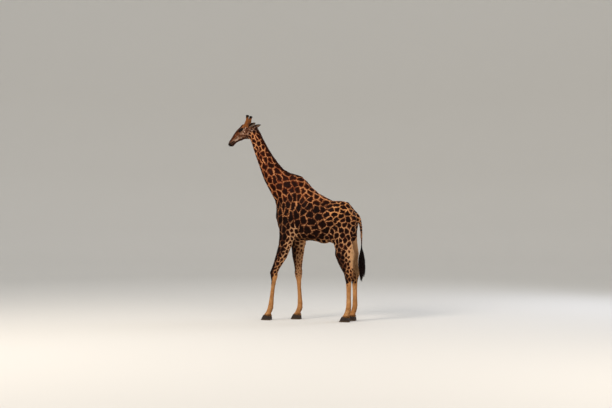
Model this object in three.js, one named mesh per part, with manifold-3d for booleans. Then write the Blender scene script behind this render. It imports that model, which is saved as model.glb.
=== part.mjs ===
// A young giraffe bull as a life-size, still museum model, standing with the left foreleg forward.
// Millimetres. +X is forward, +Y is the animal's left and +Z is up. The soles stand on Z = 0.
// The flesh is lofted limb by limb, joined into one body, softened where limbs meet, and then
// parted by thin cuts into the nodes that a person would name.
import * as THREE from "three";
import { mergeVertices } from "three/addons/utils/BufferGeometryUtils.js";
import Module from "manifold-3d";

const wasm = await Module();
wasm.setup();

const GAP = 0.35; // clearance between neighbouring solids
const LEFT = 1;
const RIGHT = -1;

// ---------------------------------------------------------------- driving sizes

// Leg joints seen from the side: [forward, height] of elbow or stifle, knee or hock, and fetlock.
const KNEE_HEIGHT = 1005;
const HOCK_HEIGHT = 965;
const FETLOCK_HEIGHT = 268;
const CORONET_HEIGHT = 100;
const FORELEGS = {
  left: { side: LEFT, elbow: 705, knee: 975, fetlock: 1058, hoof: 1128 },
  right: { side: RIGHT, elbow: 590, knee: 522, fetlock: 492, hoof: 556 },
};
const HINDLEGS = {
  left: { side: LEFT, hip: -575, hock: -660, fetlock: -652, hoof: -590 },
  right: { side: RIGHT, hip: -600, hock: -728, fetlock: -726, hoof: -664 },
};

// Hooves: two claws to each foot, flat under the sole, with the coronet rising towards the toe.
const CLAW = { length: 236, width: 84, spread: 90 };
const CORONET_TILT = -0.2;

// The head's own frame: origin behind the jaw, forward down the face.
const HEAD_ORIGIN = new THREE.Vector3(1555, -34, 4121);
const HEAD_PITCH = THREE.MathUtils.degToRad(30);
const HEAD_YAW = THREE.MathUtils.degToRad(-5);
const EYE = { forward: 187, up: 150, side: 88, radius: 26.5 };
const HORN = { base: [-3, 200, 50], tip: [-104, 330, 90], radius: 27 };
const EAR = { root: [-16, 108, 86], tip: [-210, 72, 146], width: 48, cup: 26, thick: 11 };

const MANE_HEIGHT = 46;

// ---------------------------------------------------------------- solids from lofts

// One cross-section of a loft. top reaches to the side of (tangent x left), which is the back of a
// neck built upwards, the withers side of a trunk built forwards and the front of a leg built down.
function section(x, y, z, top, under, wide) {
  return { centre: new THREE.Vector3(x, y, z), sizes: new THREE.Vector3(top, under, wide) };
}

function geometryFromRings(rings) {
  const sides = rings[0].length;
  const points = rings.flat();
  const index = [];
  const middle = (ring) =>
    ring.reduce((sum, p) => sum.add(p), new THREE.Vector3()).divideScalar(sides);
  const first = points.push(middle(rings[0])) - 1;
  const last = points.push(middle(rings.at(-1))) - 1;
  const end = (rings.length - 1) * sides;
  for (let k = 0; k < sides; k++) {
    const next = (k + 1) % sides;
    index.push(first, next, k, last, end + k, end + next);
    for (let r = 0; r < end; r += sides)
      index.push(r + k, r + next, r + sides + k, r + next, r + sides + next, r + sides + k);
  }
  return new THREE.BufferGeometry().setFromPoints(points).setIndex(index);
}

function toSolid(geometry) {
  const bare = geometry.clone();
  bare.deleteAttribute("normal");
  bare.deleteAttribute("uv");
  const merged = mergeVertices(bare, 1e-3);
  return new wasm.Manifold(
    new wasm.Mesh({
      numProp: 3,
      vertProperties: merged.attributes.position.array,
      triVerts: new Uint32Array(merged.index.array),
    }),
  );
}

function toGeometry(solid) {
  const { numProp, numVert, vertProperties, triVerts } = solid.getMesh();
  const position = new Float32Array(numVert * 3);
  for (let i = 0; i < numVert; i++)
    position.set(vertProperties.subarray(i * numProp, i * numProp + 3), i * 3);
  return new THREE.BufferGeometry()
    .setAttribute("position", new THREE.BufferAttribute(position, 3))
    .setIndex(new THREE.BufferAttribute(triVerts, 1));
}

const LEFTWARDS = new THREE.Vector3(0, 1, 0);

// A tube through the sections. pinchTop and pinchUnder narrow the two edges of each ring, square
// above 2 makes it boxier, and each end is rounded over by a dome of the given length.
function loft(sections, options = {}) {
  const { sides = 12, rings = 16, domes = [20, 20], square = 2 } = options;
  const { pinchTop = 0, pinchUnder = 0, frame = new THREE.Matrix4() } = options;
  const path = new THREE.CatmullRomCurve3(sections.map((s) => s.centre));
  const sizes = new THREE.CatmullRomCurve3(sections.map((s) => s.sizes));
  const ringAt = (t, shrink, slide) => {
    const tangent = path.getTangent(t);
    const across = LEFTWARDS.clone().addScaledVector(tangent, -tangent.y).normalize();
    const up = new THREE.Vector3().crossVectors(tangent, across);
    const centre = path.getPoint(t).addScaledVector(tangent, slide);
    const size = sizes.getPoint(t).multiplyScalar(shrink);
    return Array.from({ length: sides }, (_, k) => {
      const angle = (2 * Math.PI * k) / sides;
      const [c, s] = [Math.cos(angle), Math.sin(angle)];
      const rounded = (v) => Math.sign(v) * Math.abs(v) ** (2 / square);
      const pinch = 1 - (s > 0 ? pinchTop : pinchUnder) * s * s;
      return centre
        .clone()
        .addScaledVector(across, size.z * rounded(c) * pinch)
        .addScaledVector(up, (s > 0 ? size.x : size.y) * rounded(s))
        .applyMatrix4(frame);
    });
  };
  const dome = (t, length, way) =>
    [0.35, 0.75].map((turn) => {
      const angle = (turn * Math.PI) / 2;
      return ringAt(t, Math.cos(angle), way * length * Math.sin(angle));
    });
  const body = Array.from({ length: rings }, (_, i) => ringAt(i / (rings - 1), 1, 0));
  const all = [...dome(0, domes[0], -1).reverse(), ...body, ...dome(1, domes[1], 1)];
  return toSolid(geometryFromRings(all));
}

// An ellipsoid of muscle or bone, given by its centre, its three half sizes and an optional turn.
function bulge(centre, radii, options = {}) {
  const { frame = new THREE.Matrix4(), turn = [0, 0, 0], detail = [10, 7] } = options;
  const shape = new THREE.SphereGeometry(1, ...detail)
    .scale(...radii)
    .applyMatrix4(new THREE.Matrix4().makeRotationFromEuler(new THREE.Euler(...turn)))
    .translate(...centre)
    .applyMatrix4(frame);
  return toSolid(shape);
}

const joined = (solids) => solids.reduce((whole, solid) => whole.add(solid));

// The same solid with its skin moved outwards, to leave a clearance to what rests on it.
function grown(solid, by) {
  const shape = toGeometry(solid);
  shape.computeVertexNormals();
  const { position, normal } = shape.attributes;
  for (let i = 0; i < position.count; i++) {
    const p = new THREE.Vector3().fromBufferAttribute(position, i);
    p.addScaledVector(new THREE.Vector3().fromBufferAttribute(normal, i), by);
    position.setXYZ(i, p.x, p.y, p.z);
  }
  return toSolid(shape);
}

function largest(solid) {
  return solid.decompose().reduce((a, b) => (a.volume() > b.volume() ? a : b));
}

// The same solid with its short edges closed up, so that a join leaves no slivers.
function thinned(solid, shortest) {
  const shape = toGeometry(solid);
  const position = shape.attributes.position;
  const points = Array.from({ length: position.count }, (_, i) =>
    new THREE.Vector3().fromBufferAttribute(position, i),
  );
  const faces = [];
  const around = points.map(() => new Set());
  for (let i = 0; i < shape.index.count; i += 3) {
    const face = Array.from(shape.index.array.slice(i, i + 3));
    face.forEach((p) => around[p].add(faces.length));
    faces.push(face);
  }
  const ring = (p) => new Set([...around[p]].flatMap((f) => faces[f]).filter((q) => q !== p));
  const normalWith = (face, from, at) => {
    const [a, b, c] = face.map((p) => (p === from ? at : points[p]));
    return new THREE.Vector3().crossVectors(b.clone().sub(a), c.clone().sub(a)).normalize();
  };
  const keepsShape = (p, dropped, at) =>
    [...around[p]]
      .filter((f) => !faces[f].includes(dropped))
      .every((f) => normalWith(faces[f], p, at).dot(normalWith(faces[f])) > 0.6);
  for (let p = 0; p < points.length; p++)
    for (const q of ring(p)) {
      if (around[p].size === 0 || around[q].size === 0) continue;
      if (!ring(p).has(q) || points[p].distanceTo(points[q]) > shortest) continue;
      const shared = [...ring(p)].filter((r) => ring(q).has(r));
      const at = points[p].clone().lerp(points[q], 0.5);
      if (shared.length !== 2 || !keepsShape(p, q, at) || !keepsShape(q, p, at)) continue;
      for (const f of around[q]) {
        if (faces[f].includes(p)) faces[f].forEach((r) => r !== q && around[r].delete(f));
        else {
          faces[f][faces[f].indexOf(q)] = p;
          around[p].add(f);
          continue;
        }
        faces[f] = null;
      }
      around[q].clear();
      points[p].copy(at);
    }
  const index = faces.filter((face) => face).flat();
  return toSolid(new THREE.BufferGeometry().setFromPoints(points).setIndex(index).toNonIndexed());
}

// Rounds the inward creases where limbs were joined: points on a crease, and a few rings of
// neighbours, are drawn towards the mean of the points round them.
function softened(solid, reach, passes, where) {
  const shape = toGeometry(solid);
  const position = shape.attributes.position;
  const index = shape.index.array;
  const points = Array.from({ length: position.count }, (_, i) =>
    new THREE.Vector3().fromBufferAttribute(position, i),
  );
  const neighbours = points.map(() => new Set());
  const faceOfEdge = new Map();
  const strength = new Float32Array(points.length);
  const corners = (t) => [0, 1, 2].map((k) => index[3 * t + k]);
  const plane = (t) => new THREE.Plane().setFromCoplanarPoints(...corners(t).map((i) => points[i]));
  for (let t = 0; t < index.length / 3; t++) {
    const [a, b, c] = corners(t);
    for (const [from, to] of [[a, b], [b, c], [c, a]]) {
      neighbours[from].add(to);
      neighbours[to].add(from);
      faceOfEdge.set(from + ":" + to, t);
    }
  }
  const limit = Math.cos(THREE.MathUtils.degToRad(14));
  for (const [edge, t] of faceOfEdge) {
    const [from, to] = edge.split(":").map(Number);
    const other = faceOfEdge.get(to + ":" + from);
    const far = corners(other).find((i) => i !== from && i !== to);
    const here = plane(t);
    const inward = here.distanceToPoint(points[far]) > 0;
    const crease = inward && here.normal.dot(plane(other).normal) < limit;
    if (crease && where(points[from])) strength[from] = strength[to] = 1;
  }
  for (let ring = 1; ring <= reach; ring++) {
    const before = strength.slice();
    before.forEach((s, i) => {
      if (s === 0 && where(points[i]) && [...neighbours[i]].some((j) => before[j] > 0))
        strength[i] = 1 - ring / (reach + 1);
    });
  }
  for (let pass = 0; pass < passes; pass++) {
    const moved = points.map((p, i) => {
      if (strength[i] === 0) return p;
      const mean = new THREE.Vector3();
      neighbours[i].forEach((j) => mean.add(points[j]));
      return p.clone().lerp(mean.divideScalar(neighbours[i].size), 0.5 * strength[i]);
    });
    moved.forEach((p, i) => points[i].copy(p));
  }
  points.forEach((p, i) => position.setXYZ(i, p.x, p.y, p.z));
  return toSolid(shape);
}

// ---------------------------------------------------------------- trunk and neck

function trunk() {
  return loft(
    [
      section(-778, 0, 2075, 150, 140, 100), // between the buttocks
      section(-748, 0, 2088, 250, 225, 158),
      section(-680, 0, 2105, 335, 295, 208), // tail root
      section(-560, 0, 2125, 408, 345, 252), // croup
      section(-410, 0, 2130, 430, 400, 292), // hips
      section(-240, 0, 2115, 462, 450, 322), // flank
      section(-40, 0, 2140, 512, 488, 342), // loin
      section(150, 0, 2150, 672, 482, 335),
      section(300, 0, 2150, 862, 462, 318), // behind the withers
      section(450, 0, 2150, 962, 450, 300), // withers
      section(600, 0, 2150, 986, 424, 274),
      section(770, 0, 2150, 600, 357, 228), // shoulders
      section(890, 0, 2130, 270, 240, 158), // breast
      section(938, 0, 2110, 150, 140, 92),
    ],
    { sides: 20, rings: 19, domes: [18, 30], square: 2.15, pinchTop: 0.16 },
  );
}

// From inside the chest up to the poll, with the nape on the top side.
const NECK = [
  section(540, 0, 2650, 400, 400, 236),
  section(735, 0, 2802, 392, 368, 212),
  section(890, 0, 2944, 300, 292, 170),
  section(1032, -2, 3097, 236, 236, 140),
  section(1152, -6, 3299, 198, 198, 118),
  section(1256, -12, 3493, 165, 165, 104),
  section(1354, -18, 3694, 141, 142, 95),
  section(1432, -26, 3872, 122, 124, 90),
  section(1498, -33, 4010, 122, 118, 88),
  section(1546, -34, 4106, 112, 96, 82),
];
const NECK_LOFT = { sides: 16, rings: 15, domes: [60, 30], pinchTop: 0.32, pinchUnder: 0.08 };

// Muscles and bone ends that stand out on the breast, shoulders, hips, rump and belly.
function trunkForms() {
  const forms = [
    bulge([868, 0, 2085], [96, 112, 262]), // breast muscle
    bulge([-60, 0, 1664], [170, 46, 44], { turn: [0, -0.12, 0] }), // sheath
  ];
  for (const side of [LEFT, RIGHT])
    forms.push(
      bulge([800, 118 * side, 2190], [150, 100, 240], { turn: [0, 0.2, 0] }), // shoulder point
      bulge([-405, 165 * side, 2385], [150, 92, 100]), // hip bone
      bulge([-770, 112 * side, 2130], [88, 72, 165]), // seat bone
    );
  return forms;
}

// ---------------------------------------------------------------- legs

const LEG_LOFT = { sides: 12, rings: 19, domes: [40, 10], square: 2.1 };
const mix = THREE.MathUtils.lerp;

// Shoulder blade, upper arm, forearm, knee, cannon bone and fetlock, down into the hoof.
function foreleg({ side, elbow, knee, fetlock, hoof }) {
  const place = (from, to, share, inset) => [mix(from, to, share), side * inset];
  const below = (share) => mix(KNEE_HEIGHT, FETLOCK_HEIGHT, share);
  const forearm = (share) => mix(1700, KNEE_HEIGHT, share);
  return loft(
    [
      section(...place(480, elbow, 0, 128), 2800, 105, 105, 48), // top of the blade
      section(...place(480, elbow, 0.35, 178), 2480, 165, 150, 78),
      section(...place(480, elbow, 0.85, 200), 2140, 215, 185, 98), // shoulder joint
      section(...place(480, elbow, 1.0, 198), 1900, 175, 190, 98),
      section(...place(elbow, knee, 0, 186), forearm(0), 148, 158, 90), // elbow
      section(...place(elbow, knee, 0.34, 180), forearm(0.36), 122, 118, 76),
      section(...place(elbow, knee, 0.7, 176), forearm(0.7), 90, 88, 64),
      section(...place(elbow, knee, 0.93, 174), forearm(0.9), 84, 78, 64),
      section(...place(knee, fetlock, 0, 173), KNEE_HEIGHT, 92, 86, 72), // knee
      section(...place(knee, fetlock, 0, 172), below(0.13), 74, 74, 62),
      section(...place(knee, fetlock, 0.16, 171), below(0.26), 47, 54, 48),
      section(...place(knee, fetlock, 0.5, 169), below(0.53), 43, 52, 41),
      section(...place(knee, fetlock, 0.86, 168), below(0.84), 47, 60, 45),
      section(...place(fetlock, hoof, 0, 167), FETLOCK_HEIGHT, 60, 68, 56), // fetlock
      section(...place(fetlock, hoof, 0.45, 166), 180, 58, 58, 54),
      section(...place(fetlock, hoof, 0.8, 165), 105, 82, 66, 74), // coronet
      section(...place(fetlock, hoof, 1, 165), 50, 84, 72, 78),
    ],
    LEG_LOFT,
  );
}

// Hip, thigh, stifle, gaskin, hock, cannon bone and fetlock, down into the hoof.
function hindleg({ side, hip, hock, fetlock, hoof }) {
  const place = (from, to, share, inset) => [mix(from, to, share), side * inset];
  const below = (share) => mix(HOCK_HEIGHT, FETLOCK_HEIGHT, share);
  return loft(
    [
      section(...place(hip, hock, 0, 130), 2350, 160, 150, 88), // croup
      section(...place(hip, hock, 0, 166), 2150, 225, 215, 112), // hip joint
      section(...place(hip, hock, 0, 176), 1880, 262, 240, 124),
      section(...place(hip, hock, 0, 172), 1640, 262, 236, 118), // thigh
      section(...place(hip, hock, 0.05, 168), 1480, 238, 226, 104), // stifle
      section(...place(hip, hock, 0.2, 164), 1320, 190, 190, 84),
      section(...place(hip, hock, 0.55, 160), 1160, 142, 142, 64), // gaskin
      section(...place(hip, hock, 0.9, 156), 1045, 106, 124, 57),
      section(...place(hip, hock, 1, 154), HOCK_HEIGHT + 8, 94, 110, 61), // hock
      section(...place(hock, fetlock, 0, 152), below(0.1), 84, 78, 58),
      section(...place(hock, fetlock, 0.2, 152), below(0.22), 58, 62, 50),
      section(...place(hock, fetlock, 0.5, 151), below(0.5), 47, 56, 42),
      section(...place(hock, fetlock, 0.9, 150), below(0.84), 49, 62, 45),
      section(...place(fetlock, hoof, 0, 150), FETLOCK_HEIGHT, 60, 68, 55), // fetlock
      section(...place(fetlock, hoof, 0.45, 149), 180, 57, 57, 53),
      section(...place(fetlock, hoof, 0.8, 148), 105, 80, 65, 72), // coronet
      section(...place(fetlock, hoof, 1, 148), 50, 82, 70, 76),
    ],
    LEG_LOFT,
  );
}

// One claw: a long wedge with a rounded toe, standing on a flat sole. outer is the way, left or
// right, in which its wall bulges.
function claw(hoof, inset, side, outer) {
  const { length, width, spread } = CLAW;
  const y = side * inset + (outer * spread) / 2;
  const levels = [
    // height, toe reach, heel reach, width
    [0, 0.59, 0.4, 1],
    [52, 0.48, 0.39, 0.98],
    [136, 0.27, 0.31, 0.82],
  ];
  const sides = 10;
  const rings = levels.map(([height, toe, heel, share]) =>
    Array.from({ length: sides }, (_, k) => {
      const angle = (2 * Math.PI * (k + 0.5)) / sides;
      const [c, s] = [Math.cos(angle), Math.sin(angle)];
      const reach = (c > 0 ? toe : heel) * length * Math.sign(c) * Math.abs(c) ** 0.85;
      const half = (width / 2) * share * (Math.sign(s) === outer ? 1.08 : 0.92);
      const across = Math.sign(s) * Math.abs(s) ** (c > 0 ? 1.05 : 0.7);
      return new THREE.Vector3(hoof + reach, y + half * across, height);
    }),
  );
  return toSolid(geometryFromRings(rings));
}

// ---------------------------------------------------------------- head

const headTurn = new THREE.Matrix4().makeRotationFromEuler(
  new THREE.Euler(0, HEAD_PITCH, HEAD_YAW, "ZYX"),
);
const headFrame = new THREE.Matrix4().setPosition(HEAD_ORIGIN).multiply(headTurn);
const onHead = (forward, side, up) =>
  new THREE.Vector3(forward, side, up).applyMatrix4(headFrame).toArray();

// Skull and muzzle from the poll to the lips, in the head's own frame.
function skull() {
  return loft(
    [
      section(-104, 0, 52, 72, 92, 60), // back of the skull
      section(-50, 0, 50, 120, 140, 88),
      section(10, 0, 62, 156, 188, 102), // poll
      section(70, 0, 78, 178, 204, 106),
      section(125, 0, 92, 178, 198, 106), // jaw angle
      section(185, 0, 102, 168, 186, 101), // brow
      section(250, 0, 96, 150, 156, 90),
      section(320, 0, 90, 130, 128, 77),
      section(400, 0, 82, 104, 98, 66), // bridge of the nose
      section(470, 0, 66, 84, 78, 61),
      section(530, 0, 50, 76, 76, 63),
      section(558, 0, 46, 70, 80, 66), // chin
      section(590, 0, 40, 60, 60, 67), // nostrils
      section(625, 0, 42, 34, 32, 54),
      section(646, 0, 42, 18, 16, 34), // upper lip
    ],
    {
      sides: 16,
      rings: 21,
      domes: [22, 10],
      square: 2.1,
      pinchTop: 0.26,
      pinchUnder: 0.3,
      frame: headFrame,
    },
  );
}

function skullForms() {
  const frame = headFrame;
  const forms = [bulge([112, 0, 230], [96, 46, 46], { frame })]; // middle horn's low boss
  for (const side of [LEFT, RIGHT])
    forms.push(
      bulge([186, 74 * side, 156], [64, 37, 46], { frame, turn: [0, 0.1, -0.12 * side] }), // orbit
      bulge([92, 52 * side, -6], [122, 40, 92], { frame }), // cheek muscle
      bulge([-6, 46 * side, 176], [62, 44, 48], { frame }), // horn root
    );
  return forms;
}

function horn(side) {
  const [base, tip] = [HORN.base, HORN.tip].map(([f, u, s]) => new THREE.Vector3(f, side * s, u));
  const stage = (share, girth) => {
    const r = girth * HORN.radius;
    return section(...base.clone().lerp(tip, share).toArray(), r, r, 0.94 * r);
  };
  const stages = [stage(-0.2, 2.1), stage(0.15, 1.75), stage(0.5, 1.3), stage(0.8, 1.04), stage(1, 1.08)];
  return loft(stages, { sides: 8, rings: 8, domes: [5, 14], frame: headFrame });
}

// A leaf-shaped ear, cupped along its length, with its hollow turned forwards and outwards.
function ear(side) {
  const [root, tip] = [EAR.root, EAR.tip].map(([f, u, s]) => new THREE.Vector3(f, side * s, u));
  const along = tip.clone().sub(root);
  const opening = new THREE.Vector3(0.3, 0.9 * side, -0.1);
  const across = new THREE.Vector3().crossVectors(along, opening).normalize();
  const out = new THREE.Vector3().crossVectors(across, along).normalize();
  if (side === RIGHT) across.negate();
  const half = 5;
  const outline = (t) => Math.sin(Math.PI * (0.16 + 0.84 * t) ** 0.8) ** 0.75;
  const ring = (t) => {
    const width = EAR.width * Math.max(outline(t), 0.12);
    const point = (share, thick) => {
      const curl = 1 - share * share;
      const lift = -EAR.cup * (width / EAR.width) * curl + thick * (0.35 + 0.65 * curl);
      return root.clone().addScaledVector(along, t).addScaledVector(across, side * share * width)
        .addScaledVector(out, lift).applyMatrix4(headFrame);
    };
    const shares = Array.from({ length: half }, (_, k) => (2 * k) / (half - 1) - 1);
    return [
      ...shares.map((share) => point(share, 0)),
      ...shares.reverse().map((share) => point(share, EAR.thick)),
    ];
  };
  const rings = Array.from({ length: 9 }, (_, i) => ring(-0.08 + (1.06 * i) / 8));
  let solid = toSolid(geometryFromRings(rings));
  if (solid.volume() < 0) solid = toSolid(geometryFromRings(rings.reverse()));
  return solid;
}

function eyeball(side, extra = 0) {
  const { forward, up, side: out, radius } = EYE;
  const size = radius + extra;
  const ball = { frame: headFrame, detail: [10, 6] };
  return bulge([forward, out * side, up], [size, size, size], ball);
}

function nostril(side) {
  const turn = [0.3 * side, 0.5, -0.5 * side];
  return bulge([604, 47 * side, 60], [19, 12, 8], { frame: headFrame, turn, detail: [8, 5] });
}

// ---------------------------------------------------------------- tail and mane

function tailDock() {
  return loft(
    [
      section(-700, 0, 2330, 62, 60, 58),
      section(-800, 0, 2262, 54, 52, 50), // root
      section(-872, 0, 2120, 40, 38, 38),
      section(-902, 0, 1920, 28, 28, 28),
      section(-908, 0, 1700, 21, 21, 21),
      section(-910, 0, 1480, 17, 17, 17),
    ],
    { sides: 8, rings: 12, domes: [20, 12] },
  );
}

function tailTuft() {
  return loft(
    [
      section(-909, 0, 1545, 23, 23, 23),
      section(-912, 0, 1440, 52, 52, 44),
      section(-917, 0, 1290, 76, 74, 58),
      section(-922, 0, 1120, 84, 80, 62),
      section(-926, 0, 960, 70, 66, 50),
      section(-928, 0, 830, 30, 30, 24),
    ],
    { sides: 8, rings: 7, domes: [6, 24] },
  );
}

// A low crest of standing hair, set on the nape from the withers to between the horns.
function mane() {
  const path = new THREE.CatmullRomCurve3(NECK.map((s) => s.centre));
  const last = NECK.length - 1;
  const onNape = NECK.slice(2).map(({ centre, sizes }, i) => {
    const tangent = path.getTangent((i + 2) / last);
    const nape = new THREE.Vector3(-tangent.z, 0, tangent.x).setLength(sizes.x).add(centre);
    return section(...nape.toArray(), MANE_HEIGHT * (i === 0 ? 0.8 : 1), 24, 19);
  });
  const crest = [
    section(400, 0, 3078, 16, 24, 14),
    section(540, 0, 3124, 28, 30, 17),
    ...onNape,
    section(...onHead(-122, 0, 14), 0.9 * MANE_HEIGHT, 30, 18),
    section(...onHead(-92, 0, 118), 0.6 * MANE_HEIGHT, 26, 15),
  ];
  return loft(crest, { sides: 8, rings: 12, domes: [30, 20], pinchTop: 0.5 });
}

// ---------------------------------------------------------------- one body, then its parts

const box = (centre, size, turn = [0, 0, 0]) =>
  toSolid(
    new THREE.BoxGeometry(...size)
      .applyMatrix4(new THREE.Matrix4().makeRotationFromEuler(new THREE.Euler(...turn)))
      .translate(...centre),
  );

const legs = [...Object.values(FORELEGS).map(foreleg), ...Object.values(HINDLEGS).map(hindleg)];
const body = joined([trunk(), loft(NECK, NECK_LOFT), ...trunkForms(), ...legs]);
const head = joined([skull(), ...skullForms()]);
const besideCrest = (p) => p.z > 1480 && (p.z < 2500 || Math.abs(p.y) > 105);
const atPollOrTail = (p) => p.x > 1350 || p.x < -720;
let flesh = softened(thinned(body, 23), 3, 8, besideCrest).add(tailDock());
flesh = flesh.add(softened(thinned(head, 14), 2, 4, () => true));
flesh = softened(thinned(flesh, 13), 1, 4, atPollOrTail);
for (const side of [LEFT, RIGHT])
  flesh = flesh.subtract(eyeball(side, GAP)).subtract(nostril(side));

// Below the coronet the leg gives way to the two claws.
const FEET = [
  ...Object.entries(FORELEGS).map(([name, leg]) => ["foreleg_" + name, leg, 165]),
  ...Object.entries(HINDLEGS).map(([name, leg]) => ["hindleg_" + name, leg, 148]),
];
const coronetBlock = (leg, inset, middle) =>
  box([leg.hoof, leg.side * inset, middle], [420, 300, 2 * CORONET_HEIGHT], [0, CORONET_TILT, 0]);
for (const [, leg, inset] of FEET) flesh = flesh.subtract(coronetBlock(leg, inset, 0));

// Thin cuts: place, size of the slab and its turn about Y. Each parts one neighbour from the next.
const slab = (x, y, z, across, wide, pitch) => box([x, y, z], [GAP, wide, across], [0, pitch, 0]);
const level = (x, y, z, long, wide) => box([x, y, z], [long, wide, GAP]);
const CUTS = [
  slab(1516, 0, 4067, 560, 500, -0.665), // poll to throat
  slab(1276, 0, 3520, 600, 600, -1.1), // upper neck
  slab(1070, 0, 3160, 700, 700, -0.99), // lower neck
  slab(776, 0, 2800, 1080, 900, -0.4), // root of the neck
  slab(150, 0, 2300, 1600, 1000, 0), // behind the shoulders
  slab(-270, 0, 2200, 1500, 1000, 0), // before the thighs
  slab(-884, 0, 2080, 110, 130, -1.3), // tail root
];
for (const leg of Object.values(FORELEGS))
  CUTS.push(
    level(mix(leg.elbow, leg.knee, 0.1), leg.side * 205, 1660, 560, 400),
    level(leg.knee, leg.side * 175, KNEE_HEIGHT + 118, 400, 300),
    level(leg.fetlock, leg.side * 170, FETLOCK_HEIGHT + 66, 300, 300),
  );
for (const leg of Object.values(HINDLEGS))
  CUTS.push(
    level(-620, leg.side * 205, 1590, 720, 400),
    level(leg.hock, leg.side * 155, HOCK_HEIGHT + 112, 420, 260),
    level(leg.fetlock, leg.side * 150, FETLOCK_HEIGHT + 66, 300, 280),
  );

// The mouth line runs back from the lips, then under the cheek to the angle of the jaw.
const mouthLine = [[720, 20], [452, 36], [-60, -106.5]];
const mouthCut = joined(
  mouthLine.slice(1).map(([endForward, endUp], i) => {
    const [startForward, startUp] = mouthLine[i];
    const [run, rise] = [startForward - endForward, startUp - endUp];
    const sheet = new THREE.BoxGeometry(Math.hypot(run, rise) + GAP, 400, GAP)
      .rotateY(-Math.atan2(rise, run))
      .translate((startForward + endForward) / 2, 0, (startUp + endUp) / 2);
    return toSolid(sheet.applyMatrix4(headFrame));
  }),
);

// ---------------------------------------------------------------- nodes

const coat = new THREE.MeshStandardMaterial({ color: "#7a4425", roughness: 0.85, metalness: 0 });
const faceCoat = new THREE.MeshStandardMaterial({ color: "#8a6248", roughness: 0.85, metalness: 0 });
const legCoat = new THREE.MeshStandardMaterial({ color: "#b07c4c", roughness: 0.85, metalness: 0 });
const maneHair = new THREE.MeshStandardMaterial({ color: "#5a2c16", roughness: 0.8, metalness: 0 });
const darkHair = new THREE.MeshStandardMaterial({ color: "#15100e", roughness: 0.75, metalness: 0 });
const hoofHorn = new THREE.MeshStandardMaterial({ color: "#4a3a2e", roughness: 0.5, metalness: 0 });
const eyeGloss = new THREE.MeshStandardMaterial({ color: "#140c08", roughness: 0.08, metalness: 0 });

const giraffe = new THREE.Group();

function addNode(name, solid, material) {
  const mesh = new THREE.Mesh(toGeometry(solid), material);
  mesh.name = name;
  giraffe.add(mesh);
}

// Each piece of the cut body takes the name of the anchor inside its bounding box that lies nearest.
const ANCHORS = [
  ["head", onHead(230, 0, 100), faceCoat],
  ["lower_jaw", onHead(330, 0, -20), faceCoat],
  ["neck_upper", [1380, -20, 3780], coat],
  ["neck_middle", [1150, -6, 3320], coat],
  ["neck_lower", [880, 0, 2960], coat],
  ["shoulders", [480, 0, 2380], coat],
  ["barrel", [-60, 0, 2120], coat],
  ["hindquarters", [-550, 0, 2080], coat],
  ["tail_dock", [-905, 0, 1850], coat],
];
for (const [name, leg] of Object.entries(FORELEGS)) {
  ANCHORS.push(
    ["foreleg_" + name + "_forearm", [mix(leg.elbow, leg.knee, 0.4), leg.side * 180, 1400], coat],
    ["foreleg_" + name + "_cannon", [mix(leg.knee, leg.fetlock, 0.4), leg.side * 170, 720], legCoat],
    ["foreleg_" + name + "_pastern", [leg.fetlock, leg.side * 167, 230], legCoat],
  );
}
for (const [name, leg] of Object.entries(HINDLEGS)) {
  ANCHORS.push(
    ["hindleg_" + name + "_thigh", [-600, leg.side * 165, 1340], coat],
    ["hindleg_" + name + "_cannon", [leg.hock, leg.side * 152, 700], legCoat],
    ["hindleg_" + name + "_pastern", [leg.fetlock, leg.side * 150, 230], legCoat],
  );
}

const parted = CUTS.reduce((whole, cut) => whole.subtract(cut), flesh).decompose();
const isHead = (piece) => piece.boundingBox().max[0] > HEAD_ORIGIN.x + 400;
const pieces = parted.flatMap((piece) =>
  isHead(piece) ? piece.subtract(mouthCut).decompose() : [piece],
);
const centreOf = (solid) => {
  const { min, max } = solid.boundingBox();
  return new THREE.Vector3(...min).add(new THREE.Vector3(...max)).multiplyScalar(0.5);
};
for (const [name, anchor, material] of ANCHORS) {
  const target = new THREE.Vector3(...anchor);
  const found = pieces.reduce((a, b) =>
    centreOf(a).distanceTo(target) < centreOf(b).distanceTo(target) ? a : b,
  );
  pieces.splice(pieces.indexOf(found), 1);
  addNode(name, found, material);
}
if (pieces.length) throw new Error(pieces.length + " pieces of the body have no name");

const fleshRoom = grown(flesh, GAP);
for (const [name, side] of [["left", LEFT], ["right", RIGHT]]) {
  addNode("ear_" + name, largest(ear(side).subtract(fleshRoom)), faceCoat);
  addNode("eye_" + name, eyeball(side), eyeGloss);
  addNode("horn_" + name, largest(horn(side).subtract(fleshRoom)), darkHair);
}
addNode("mane", largest(mane().subtract(fleshRoom)), maneHair);
addNode("tail_tuft", largest(tailTuft().subtract(grown(tailDock(), GAP))), darkHair);

for (const [name, leg, inset] of FEET) {
  const pastern = coronetBlock(leg, inset, 2 * CORONET_HEIGHT + GAP);
  for (const [where, outer] of [["outer", leg.side], ["inner", -leg.side]])
    addNode(
      name + "_claw_" + where,
      claw(leg.hoof, inset, leg.side, outer).subtract(pastern),
      hoofHorn,
    );
}

// The origin is on the floor, under the middle of the model.
const bounds = new THREE.Box3().setFromObject(giraffe);
const middle = bounds.getCenter(new THREE.Vector3());
giraffe.position.set(-middle.x, -middle.y, -bounds.min.z);

export default giraffe;
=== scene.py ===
import math

import bmesh
import bpy
import numpy as np
from mathutils import Matrix, Vector
from mathutils.bvhtree import BVHTree
from mathutils.kdtree import KDTree


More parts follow.
